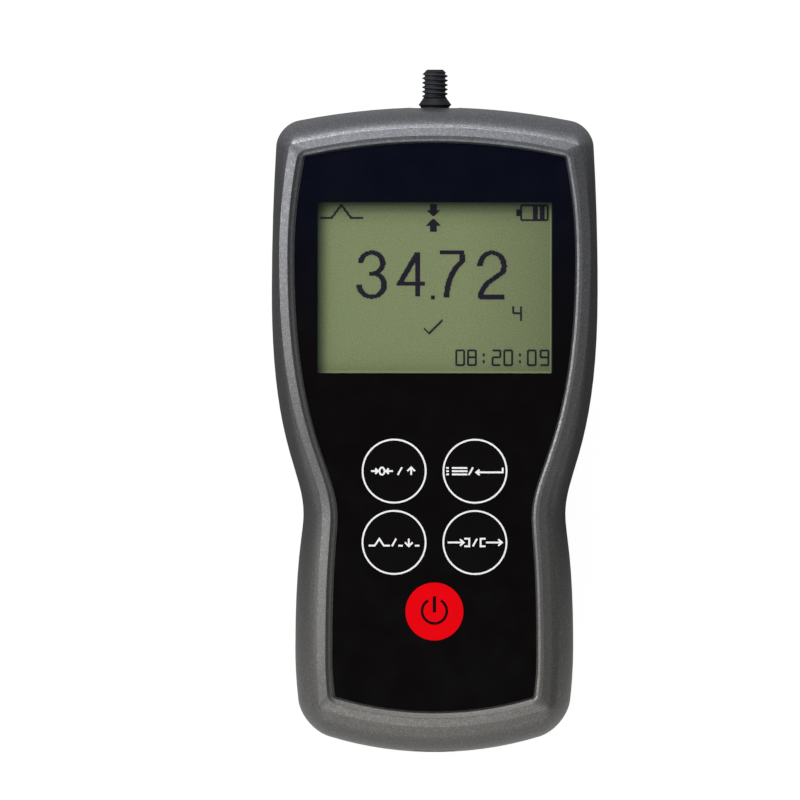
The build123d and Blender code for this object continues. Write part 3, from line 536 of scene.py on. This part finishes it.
def large_digit(character):
    """Strokes of a large digit, in a cell from 0 to 1 both ways, with y up."""
    strokes = {
        "0": [arc_path((0.5, 0.5), (0.44, 0.5), 0, 360, 60)],
        "1": [np.array([(0.20, 0.80), (0.56, 1.0), (0.56, 0.0)])],
        "2": [np.concatenate([arc_path((0.5, 0.70), (0.46, 0.30), 180, -28),
                              arc_path((1.06, -0.08), (1.02, 0.56), 126, 171, 12), [(0.03, 0.0)]]),
              np.array([(0.03, 0.0), (0.97, 0.0)])],
        "3": [arc_path((0.48, 0.76), (0.42, 0.24), 180, -82),
              np.array([(0.40, 0.52), (0.58, 0.52)]),
              arc_path((0.48, 0.27), (0.48, 0.27), 86, -180)],
        "4": [np.array([(1.0, 0.29), (0.0, 0.29), (0.68, 0.98)]),
              np.array([(0.70, 1.0), (0.70, 0.0)])],
        "5": [np.array([(0.86, 1.0), (0.14, 1.0), (0.06, 0.52)]),
              arc_path((0.46, 0.31), (0.50, 0.31), 142, -170)],
        "6": [arc_path((0.50, 0.32), (0.46, 0.32), 0, 360, 48),
              np.concatenate([[(0.04, 0.32)], arc_path((0.56, 0.64), (0.52, 0.36), 180, 40)])],
        "7": [np.array([(0.0, 1.0), (0.97, 1.0)]),
              np.concatenate([[(0.90, 0.97)], arc_path((1.40, -0.06), (1.12, 0.98), 118, 177, 16)])],
        "8": [arc_path((0.50, 0.76), (0.38, 0.24), 0, 360, 48),
              arc_path((0.50, 0.27), (0.46, 0.27), 0, 360, 48)],
        "9": [arc_path((0.48, 0.67), (0.44, 0.33), 0, 360, 48),
              np.concatenate([[(0.92, 0.67)], arc_path((0.44, 0.34), (0.48, 0.34), 30, -150)])],
    }
    return strokes[character]


SEGMENTS = {
    "top": ((1, 15), (7, 15)), "middle": ((1, 8), (7, 8)), "foot": ((1, 0), (7, 0)),
    "upper_left": ((0, 9), (0, 14)), "upper_right": ((8, 9), (8, 14)),
    "lower_left": ((0, 1), (0, 7)), "lower_right": ((8, 1), (8, 7)),
}
UNLIT = {
    "0": ("middle",), "1": ("top", "middle", "foot", "upper_left", "lower_left"),
    "2": ("upper_left", "lower_right"), "3": ("upper_left", "lower_left"),
    "4": ("top", "foot", "lower_left"), "5": ("upper_right", "lower_left"), "6": ("upper_right",),
    "7": ("middle", "foot", "upper_left", "lower_left"), "8": (), "9": ("lower_left",),
}


def small_character(character):
    """Strokes of a small digit or a colon, in dots, with its lower left dot at the origin. They run
    between two rows of dots, so that the fine pen makes them two dots wide."""
    between = 0.5
    if character == ":":
        column, rows = 4, (3, 10)
        lit = [((column, row), (column, row + 1)) for row in rows]
    else:
        lit = [ends for name, ends in SEGMENTS.items() if name not in UNLIT[character]]
    return [np.array(ends) + between for ends in lit]


class DotScreen:
    """A field of dots, each lit where a pen with an elliptic tip passes over its centre."""

    def __init__(self, columns, rows):
        self.lit = np.zeros((rows, columns), bool)
        self.y, self.x = np.mgrid[0:rows, 0:columns].astype(float)

    def draw(self, paths, pen, square=False):
        """Lights each dot whose centre lies inside the pen's tip somewhere on a path: its distance
        to the nearest point of the path's straight pieces, divided by the tip's half sizes, is
        under one. A square pen ends a path flat, at its last point."""
        spot = np.stack([self.x / pen[0], self.y / pen[1]], axis=-1)[..., None, :]
        for path in paths:
            start, end = path[:-1] / pen, path[1:] / pen
            along = end - start
            reach = ((spot - start) * along).sum(axis=-1) / (along ** 2).sum(axis=1)
            share = np.clip(reach, 0, 1)
            nearest = start + share[..., None] * along
            near = ((spot - nearest) ** 2).sum(axis=-1) < 1
            if square:
                near[..., 0] &= reach[..., 0] > 0
                near[..., -1] &= reach[..., -1] < 1
            self.lit |= near.any(axis=-1)

    def fill(self, left, low, right, high):
        """Lights the dots of a rectangle."""
        self.lit |= (self.x >= left) & (self.x <= right) & (self.y >= low) & (self.y <= high)


def draw_screen(settings):
    """What the display shows, in dots from its lower left corner."""
    screen = DotScreen(settings.columns, settings.rows)
    draw_reading(screen, settings.reading)
    clock_left, clock_low, clock_step = 140.9, 7, 12.25
    range_corner = (199, 52)
    for index, character in enumerate(settings.clock):
        draw_small(screen, character, (round(clock_left + index * clock_step), clock_low))
    draw_small(screen, str(settings.range_number), range_corner)
    tick = np.array([(109.0, 44.5), (114.0, 39.5), (127.0, 53.5)])
    screen.draw([tick], pen=(1.05, 1.05))
    hill = np.array([(3.0, 157.5), (14.0, 157.5), (24.0, 170.5), (34.0, 157.5), (46.0, 157.5)])
    screen.draw([hill], pen=(1.1, 1.1))
    arrow_centre, upward_tip, downward_tip = 118, 156.6, 159.2
    draw_arrow(screen, arrow_centre, upward_tip, 1)
    draw_arrow(screen, arrow_centre, downward_tip, -1)
    draw_battery(screen)
    return screen


def draw_reading(screen, reading):
    """The large digits, each at a place of its own, and the point between them."""
    size, baseline = np.array([26.6, 45.2]), 77.0
    digit_left = iter((42.3, 83.4, 124.0, 164.6))
    point_left, point_low, point_right, point_high = 116, 74.6, 119.2, 78.4
    for character in reading:
        if character == ".":
            screen.fill(point_left, point_low, point_right, point_high)
        else:
            corner = np.array([next(digit_left), baseline])
            strokes = [corner + stroke * size for stroke in large_digit(character)]
            screen.draw(strokes, BROAD_PEN, square=True)


def draw_small(screen, character, corner):
    """A small digit or a colon with its lower left dot at the corner."""
    screen.draw([stroke + corner for stroke in small_character(character)], FINE_PEN)


def draw_arrow(screen, centre, tip, way):
    """A short block arrow with its tip at a height; way 1 points up and -1 down."""
    head, stem, half_head, half_stem = 6.8, 12.8, 7.4, 3.2
    depth = (tip - screen.y) * way
    across = np.abs(screen.x - centre)
    screen.lit |= (depth >= 0) & (depth <= head) & (across <= depth * half_head / head + 0.5)
    screen.lit |= (depth > head) & (depth <= stem) & (across <= half_stem)


def draw_battery(screen):
    """A lying cell sign: nub, box with cut corners and two charge bars."""
    left, right, low, high = 207.5, 234.5, 155.5, 170.5
    cut, nub_length, nub_inset, gap = 1, 4.5, 4, 0.5
    bar_width, bar_places = 4, (12.5, 19.5)
    walls = np.array([(left + cut, low), (right - cut, low), (right, low + cut), (right, high - cut),
                      (right - cut, high), (left + cut, high), (left, high - cut), (left, low + cut),
                      (left + cut, low)], float)
    screen.draw([walls], FINE_PEN)
    screen.fill(left - nub_length, low + nub_inset, left - gap, high - nub_inset)
    for bar in bar_places:
        screen.fill(left + bar, low + cut, left + bar + bar_width, high - cut)


class GAUGE_OT_build_display(GaugeOperator):
    """Finish the display and light its dots"""

    bl_idname = "gauge.build_display"
    bl_label = "Build display"

    def execute(self, context):
        settings = context.scene.gauge_display
        dress(display_finish(settings), "lcd_glass")
        screen = draw_screen(settings)
        row, column = np.nonzero(screen.lit)
        low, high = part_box("display_window")
        centre = (low + high) / 2
        x = centre.x + (column - (settings.columns - 1) / 2) * settings.pitch
        y = centre.y + (row - (settings.rows - 1) / 2) * settings.pitch
        ground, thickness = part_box("lcd_glass")[1].z, 0.06 * MM
        shape = boxes(x, y, settings.pitch - settings.gap, ground, ground + thickness)
        ink = plain_finish("display_dots", settings.dot, 0.5, specular=0.2)
        place_piece("display_dots", make_mesh("display_dots", *shape), "gauge_body", ink)
        return {"FINISHED"}


# Keys


def key_centre(name):
    """Middle of a key's top, the top's height and the key's radius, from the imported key."""
    low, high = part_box(f"key_{name}")
    return np.array([(low.x + high.x) / 2, (low.y + high.y) / 2]), high.z, (high.x - low.x) / 2


def key_sign(name):
    """Lines of a key's two signs and of the stroke between them, about the key's middle, in units
    of half the sign's height. The places are the middles of the first sign, of the stroke and of
    the second sign."""
    places = {"zero": (-3.2, 1.5, 4.5), "menu": (-4.8, -1.1, 3.7), "peak": (-3.9, 0.0, 3.9),
              "send": (-4.3, 0.0, 4.3)}
    left, divide, right = places[name]
    lean = 0.55
    head = np.array([(-1.0, 0.0), (0.0, 1.0), (1.0, 0.0)])
    stem = np.array([(0.0, -1.0), (0.0, 0.8)])
    pointer = [np.array([(-2.9, 0.0), (-1.2, 0.0)]), np.array([(-1.8, 0.7), (-1.05, 0.0), (-1.8, -0.7)])]
    arrow = [np.array([(-2.9, 0.0), (1.2, 0.0)]), np.array([(0.35, 0.85), (1.35, 0.0), (0.35, -0.85)])]
    bracket = np.array([(1.5, 1.0), (2.8, 1.0), (2.8, -1.0), (1.5, -1.0)])
    first = {
        "zero": [arc_path((0, 0), (0.66, 0.95), 0, 360, 40), *pointer,
                 *[line * (-1, 1) for line in pointer]],
        "menu": [np.array([(start, level), (end, level)]) for level in (-0.85, 0.0, 0.85)
                 for start, end in ((-2.8, -2.1), (-1.3, 2.8))],
        "peak": [np.array([(-2.8, -0.85), (-1.2, -0.85), (0.0, 0.95), (1.2, -0.85), (2.8, -0.85)])],
        "send": [*arrow, bracket],
    }
    second = {
        "zero": [head, stem],
        "menu": [np.array([(3.6, 0.95), (3.6, -0.3), (-3.2, -0.3)]),
                 np.array([(-2.5, 0.4), (-3.4, -0.3), (-2.5, -1.0)])],
        "peak": [-head, -stem, np.array([(-2.8, -0.85), (-1.6, -0.85)]),
                 np.array([(1.6, -0.85), (2.8, -0.85)])],
        "send": [bracket * (-1, 1), *[line + (1.5, 0) for line in arrow]],
    }
    stroke = np.array([(divide - lean, -1.0), (divide + lean, 1.0)])
    return [*[line + (left, 0) for line in first[name]], stroke,
            *[line + (right, 0) for line in second[name]]]


class GAUGE_OT_print_keys(GaugeOperator):
    """Print rings and signs on the keys"""

    bl_idname = "gauge.print_keys"
    bl_label = "Print keys"

    def execute(self, context):
        settings = context.scene.gauge_prints
        film_relief = 0.0015 * MM
        black = plain_finish("key_film", linear(12, 10, 11), 0.24, specular=0.2, depth=film_relief)
        red = plain_finish("power_key_film", settings.red, 0.3, unevenness=0.03, depth=film_relief,
                           specular=0.1)
        white_ink = plain_finish("white_ink", linear(246, 246, 246), 0.4, unevenness=0.02)
        black_ink = plain_finish("black_ink", linear(30, 0, 6), 0.4, specular=0.1)
        dress(black, *[f"key_{name}" for name in BLACK_KEYS])
        dress(red, "key_power")
        for name in BLACK_KEYS:
            self.print_ring(settings, name, white_ink)
            self.print_sign(settings, name, white_ink)
        self.print_power_sign(settings, black_ink)
        return {"FINISHED"}

    def print_ring(self, settings, name, ink):
        """A ring just inside a key's edge."""
        centre, top, radius = key_centre(name)
        middle = radius - settings.ring_inset - settings.ring_line / 2
        circle = arc_path(centre, (middle, middle), 0, 360, 161)[:-1]
        shape = ribbon(circle, settings.ring_line, top, top + settings.ink, closed=True)
        place_piece(f"{name}_key_ring", make_mesh("ring", *shape), f"{name}_key", ink)

    def print_sign(self, settings, name, ink):
        """A key's two signs. Each line is a tenth of the ink's thickness higher than the one
        before it, so that no two tops lie in one plane where lines cross."""
        centre, top, _ = key_centre(name)
        unit = (settings.sign_height - settings.sign_line) / 2
        lines = []
        for index, line in enumerate(key_sign(name)):
            lift = settings.ink * (1 + 0.1 * index)
            lines.append(ribbon(centre + line * unit, settings.sign_line, top, top + lift))
        place_piece(f"{name}_key_sign", make_mesh("sign", *joined(lines)), f"{name}_key", ink)

    def print_power_sign(self, settings, ink):
        """An open ring with an upright bar in its gap."""
        centre, top, _ = key_centre("power")
        raised, upright, half_gap = 0.1 * MM, 90, 31
        bar_low, bar_high, bar_share = -0.28 * MM, 3.32 * MM, 1.25
        middle = centre + (0, raised)
        radius = (settings.power_diameter - settings.power_line) / 2
        arc = arc_path(middle, (radius, radius), upright + half_gap, upright + 360 - half_gap, 72)
        bar = middle + np.array([(0.0, bar_low), (0.0, bar_high)])
        lines = [ribbon(arc, settings.power_line, top, top + settings.ink),
                 ribbon(bar, settings.power_line * bar_share, top, top + settings.ink)]
        place_piece("power_key_sign", make_mesh("power_sign", *joined(lines)), "power_key", ink)


# Threads


def turned_surface(levels, radii, axis_point, axis="Y"):
    """Points of a turned surface: for each level along the axis a ring whose radius may change
    with the angle, so that a thread can run round it."""
    around = radii.shape[1]
    angle = np.linspace(0, 2 * math.pi, around, endpoint=False)
    across = radii * np.cos(angle)
    upright = radii * np.sin(angle)
    along = np.repeat(levels[:, None], around, axis=1)
    x, y, z = axis_point
    columns = (x + across, y + along, z + upright) if axis == "Y" else (
        x + across, y + upright, z + along)
    return np.stack(columns, axis=2).reshape(-1, 3)


class GAUGE_OT_cut_threads(GaugeOperator):
    """Cut the threads of the measuring stud and of the mounting inserts"""

    bl_idname = "gauge.cut_threads"
    bl_label = "Cut threads"

    def execute(self, context):
        settings = context.scene.gauge_threads
        self.build_stud(settings)
        self.build_inserts(settings)
        return {"FINISHED"}

    def build_stud(self, settings):
        """The shaft as one turned surface. Its thread's radius is the root's radius plus the
        thread's depth times its height at y / pitch - angle / turn, and no more than the end's
        chamfer or less than the cone allows. Before the thread starts it counts as nothing, which
        leaves the cone and the neck."""
        low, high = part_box("measuring_shaft")
        body_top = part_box("front_housing")[1].y
        height = (low.z + high.z) / 2
        tip = high.y
        crest, chamfer = 2.9 * MM, 1.1 * MM
        neck, collar_y, neck_y = 2.4 * MM, body_top + 0.6 * MM, body_top + 2.5 * MM
        before_neck, before_thread, rings = 0.5 * MM, 0.2 * MM, 220
        levels = np.linspace(neck_y - before_neck, tip, rings)
        angle = np.linspace(0, 1, settings.around, endpoint=False)
        turns = levels[:, None] / settings.stud_pitch - angle
        threaded = crest - settings.stud_depth * (1 - thread_share(turns))
        cone = neck + (neck_y - levels) * (COLLAR_RADIUS - neck) / (neck_y - collar_y)
        end = crest - chamfer + (tip - levels)
        threaded = np.minimum(np.maximum(threaded * (levels[:, None] > neck_y - before_thread),
                                         cone[:, None]), end[:, None])
        lower_levels, lower_radii = np.array(self.lower_shaft(low, body_top)).T
        radii = np.concatenate([np.repeat(lower_radii[:, None], settings.around, axis=1), threaded])
        all_levels = np.concatenate([lower_levels, levels])
        points = turned_surface(all_levels, radii, (0, 0, height))
        quads = grid_faces(len(all_levels), settings.around)
        last = len(points) - settings.around
        caps = [tuple(range(settings.around))[::-1], tuple(range(last, len(points)))]
        mesh = make_mesh("measuring_stud", points, quads[:, ::-1], [cap[::-1] for cap in caps])
        piece = place_piece("measuring_stud", mesh, "shaft", oxide_finish(),
                            sharp=math.radians(40))
        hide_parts("measuring_shaft")

    def lower_shaft(self, low, body_top):
        """Places along the shaft and radii there, from the spigot to the cone. The collar starts
        past the end wall, so that it stays out of the bush when the shaft is pushed in."""
        spigot, flange, groove, bar = 2.5 * MM, 4.5 * MM, 2.3 * MM, 3.2 * MM
        spigot_length = 3.6 * MM
        collar_foot, collar_shoulder, collar_top = (body_top + rise * MM for rise in (0.16, 0.58, 0.62))
        shoulder_drop = 0.04 * MM
        cell_top = low.y + spigot_length
        plate_low, plate_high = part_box("overload_stop")[0].y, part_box("overload_stop")[1].y
        clearance = 0.3 * MM
        edge = 0.15 * MM
        return [
            (low.y, spigot - edge), (low.y + edge, spigot), (cell_top, spigot),
            (cell_top, flange - edge), (cell_top + edge, flange),
            (plate_low - clearance - edge, flange), (plate_low - clearance, flange - edge),
            (plate_low - clearance, groove), (plate_high + clearance, groove),
            (plate_high + clearance, bar - edge), (plate_high + clearance + edge, bar),
            (collar_foot, bar), (collar_shoulder, COLLAR_RADIUS - shoulder_drop),
            (collar_top, COLLAR_RADIUS),
        ]

    def build_inserts(self, settings):
        """Four brass sleeves, each one closed turned surface: over the lower end, up the bore, over
        the upper end and down the outside. The bore's radius is the root's less the thread's depth
        where a crest lies."""
        low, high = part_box("mount_inserts")
        outer, bore, edge, root_excess = 3.0 * MM, 2.0 * MM, 0.25 * MM, 0.12 * MM
        angle = np.linspace(0, 1, settings.around // 2, endpoint=False)
        inside = np.linspace(edge, high.z - edge, 130)
        turns = inside[:, None] / settings.insert_pitch + angle
        threaded = bore - settings.insert_depth * thread_share(turns) + root_excess
        levels = np.concatenate([[0, 0], inside, [high.z, high.z, high.z - edge, edge]])
        lower_end = np.repeat([[outer - edge], [bore + edge]], len(angle), axis=1)
        outside = np.repeat([[bore + edge], [outer - edge], [outer], [outer]], len(angle), axis=1)
        radii = np.concatenate([lower_end, threaded, outside])
        quads = grid_faces(len(levels) + 1, len(angle)) % radii.size
        shapes = []
        for x in (low.x + outer, high.x - outer):
            for y in (low.y + outer, high.y - outer):
                points = turned_surface(levels, radii, (x, y, 0), axis="Z")
                shapes.append((points, quads[:, ::-1], []))
        mesh = make_mesh("threaded_inserts", *joined(shapes))
        piece = place_piece("threaded_inserts", mesh, "gauge_body",
                            turned_metal("turned_brass", linear(205, 168, 92), 0.26))
        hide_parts("mount_inserts")


class GAUGE_OT_finish_inner_parts(GaugeOperator):
    """Finish the parts inside the housings"""

    bl_idname = "gauge.finish_inner_parts"
    bl_label = "Finish inner parts"

    def execute(self, context):
        dress(plain_finish("black_moulding", linear(28, 28, 30), 0.5), "key_switches",
              "battery_holder", "buzzer", "data_socket_core")
        dress(plain_finish("chip_moulding", linear(34, 35, 38), 0.62, grain=0.15 * MM), "board_chips")
        dress(plain_finish("white_moulding", linear(226, 226, 218), 0.45),
              *[f"actuator_{name}" for name in (*BLACK_KEYS, "power")])
        dress(plain_finish("light_guide", linear(214, 222, 214), 0.2), "lcd_backlight")
        dress(turned_metal("tin_plate", linear(190, 192, 192), 0.3), "lcd_frame", "data_socket",
              "battery_contacts")
        dress(turned_metal("cell_alloy", linear(196, 198, 202), 0.32), "load_cell", "cell_bracket")
        dress(turned_metal("bright_zinc", linear(186, 190, 198), 0.28), "overload_stop",
              "cell_screws", "bracket_screws", "board_screws")
        dress(turned_metal("bush_bronze", linear(84, 70, 50), 0.5), "shaft_bush")
        dress(oxide_finish(), "case_screws")
        dress(board_finish(), "main_board")
        dress(plain_finish("gauge_foil", linear(196, 150, 76), 0.35, metallic=0.5), "strain_gauges")
        dress(plain_finish("battery_wrap", linear(34, 96, 58), 0.3), "battery_cells")
        dress(plain_finish("foam", linear(44, 44, 46), 0.95, grain=0.5 * MM, depth=0.1 * MM),
              "battery_pad")
        return {"FINISHED"}


# Studio


def floor_finish():
    """White floor: white to the camera with a faint shadow. Reflections see it dark beside the
    display and lighter past the gauge's two ends."""
    upper_end, upper_glow = (60 * MM, 90 * MM), (0.02, 0.35)
    lower_end, lower_glow = (-20 * MM, -80 * MM), (0.0, 0.42)
    seen_white = 0.97
    finish = Finish("studio_floor", (0.08, 0.08, 0.08), roughness=0.9, specular=0.0)
    path = finish.add("ShaderNodeLightPath")
    seen = finish.calculate("MAXIMUM", path.outputs["Is Camera Ray"], path.outputs["Is Transmission Ray"])
    along = finish.axis("Y")
    lighter = finish.calculate("ADD", finish.spread(along, *upper_end, *upper_glow),
                               finish.spread(along, *lower_end, *lower_glow))
    glow = finish.calculate("MULTIPLY", lighter, path.outputs["Is Glossy Ray"])
    finish.shader.inputs["Emission Color"].default_value = (1, 1, 1, 1)
    finish.join(finish.calculate("MULTIPLY_ADD", seen, seen_white, glow),
                finish.shader.inputs["Emission Strength"])
    return finish.material


class GAUGE_OT_set_studio(GaugeOperator):
    """Set up the floor, the lights and the camera"""

    bl_idname = "gauge.set_studio"
    bl_label = "Set studio"

    def execute(self, context):
        settings = context.scene.gauge_studio
        context.scene.view_settings.view_transform = "Standard"
        self.lay_floor(context)
        self.light_world(context, settings)
        self.add_light(context, "upper_light", settings.top_power, azimuth=96, tilt=50, size=0.35)
        self.add_light(context, "left_light", settings.left_power, azimuth=158, tilt=41, size=0.3)
        self.add_light(context, "lower_light", settings.foot_power, azimuth=262, tilt=30, size=0.4)
        self.set_camera(context, settings)
        return {"FINISHED"}

    def lay_floor(self, context):
        """A large flat square under the gauge."""
        half, level = 6.0, -0.02 * MM
        corners = np.array([(-half, -half, level), (half, -half, level), (half, half, level),
                            (-half, half, level)])
        mesh = make_mesh("floor", corners, [(0, 1, 2, 3)])
        mesh.materials.append(floor_finish())
        floor = bpy.data.objects.new("floor", mesh)
        context.scene.collection.objects.link(floor)

    def light_world(self, context, settings):
        """Light from all round: a low even part, more towards both ends and some from the left.
        Reflections see a dark patch overhead, where the camera stands, and the eye sees white."""
        world = bpy.data.worlds.new("studio")
        world.use_nodes = True
        context.scene.world = world
        sky = NodeTree(world.node_tree)
        background = sky.tree.nodes["Background"]
        path = sky.add("ShaderNodeLightPath").outputs
        looking = sky.add("ShaderNodeTexCoord").outputs["Generated"]
        way = sky.add("ShaderNodeSeparateXYZ", {0: looking}).outputs
        ends = sky.calculate("MULTIPLY", way["Y"], way["Y"])
        left = sky.calculate("MAXIMUM", sky.calculate("MULTIPLY", way["X"], -1.0), 0.0)
        light = sky.calculate("MULTIPLY_ADD", ends, settings.ends, settings.surround)
        light = sky.calculate("MULTIPLY_ADD", left, settings.left, light)
        patch_edge, patch_heart, patch_depth = math.radians(26), math.radians(12), 0.9
        patch = sky.spread(way["Z"], math.cos(patch_edge), math.cos(patch_heart), 0.0, patch_depth,
                           interpolation_type="SMOOTHSTEP")
        hidden = sky.calculate("MULTIPLY", patch, path["Is Glossy Ray"])
        light = sky.calculate("MULTIPLY", light, sky.calculate("SUBTRACT", 1.0, hidden))
        seen = sky.calculate("MAXIMUM", path["Is Camera Ray"], path["Is Transmission Ray"])
        sky.join(sky.calculate("MAXIMUM", light, seen), background.inputs["Strength"])
        background.inputs["Color"].default_value = (1, 1, 1, 1)

    def add_light(self, context, name, power, azimuth, tilt, size):
        """A square light that points at the gauge from a place given by its turn from +X and its
        tilt from straight above, in degrees."""
        light = bpy.data.lights.new(name, "AREA")
        light.size = size
        light.energy = power
        turn, lean, distance = math.radians(azimuth), math.radians(tilt), 0.7
        way = Vector((math.cos(turn) * math.sin(lean), math.sin(turn) * math.sin(lean), math.cos(lean)))
        lamp = bpy.data.objects.new(name, light)
        lamp.location = way * distance
        lamp.rotation_euler = way.to_track_quat("Z", "Y").to_euler()
        context.scene.collection.objects.link(lamp)

    def set_camera(self, context, settings):
        """Straight above the gauge, a little off its middle, as the picture is framed."""
        low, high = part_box("front_housing")
        aside, ahead, turn = -7.78 * MM, 6.70 * MM, 0.0013
        camera = bpy.data.cameras.new("camera")
        camera.sensor_width = 36
        camera.lens = camera.sensor_width * settings.distance / settings.picture_width
        camera.clip_start = 0.05
        camera.clip_end = 50
        eye = bpy.data.objects.new("camera", camera)
        eye.location = (aside, (low.y + high.y) / 2 + ahead, low.z + settings.distance)
        eye.rotation_euler = (0, 0, turn)
        context.scene.collection.objects.link(eye)
        context.scene.camera = eye


OPERATORS = (
    GAUGE_OT_paint_housings,
    GAUGE_OT_build_display,
    GAUGE_OT_print_keys,
    GAUGE_OT_cut_threads,
    GAUGE_OT_finish_inner_parts,
    GAUGE_OT_set_studio,
)


class GAUGE_PT_looks(bpy.types.Panel):
    """Steps and settings of the force gauge's looks"""

    bl_idname = "GAUGE_PT_looks"
    bl_label = "Force Gauge"
    bl_space_type = "VIEW_3D"
    bl_region_type = "UI"
    bl_category = "Force Gauge"

    def draw(self, context):
        for operator in OPERATORS:
            self.layout.operator(operator.bl_idname)
        for name, group in SETTING_GROUPS.items():
            box = self.layout.box()
            for key in group.__annotations__:
                box.prop(getattr(context.scene, name), key)


def register():
    """Makes the settings, the steps and the panel known to Blender."""
    for group in SETTING_GROUPS.values():
        bpy.utils.register_class(group)
    for name, group in SETTING_GROUPS.items():
        setattr(bpy.types.Scene, name, PointerProperty(type=group))
    for operator in OPERATORS:
        bpy.utils.register_class(operator)
    bpy.utils.register_class(GAUGE_PT_looks)


def unregister():
    """Takes everything that register added away again."""
    bpy.utils.unregister_class(GAUGE_PT_looks)
    for operator in reversed(OPERATORS):
        bpy.utils.unregister_class(operator)
    for name in SETTING_GROUPS:
        delattr(bpy.types.Scene, name)
    for group in SETTING_GROUPS.values():
        bpy.utils.unregister_class(group)


def main():
    """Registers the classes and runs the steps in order."""
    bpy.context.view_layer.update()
    register()
    for operator in OPERATORS:
        group, step = operator.bl_idname.split(".")
        getattr(getattr(bpy.ops, group), step)()


if __name__ == "__main__":
    main()
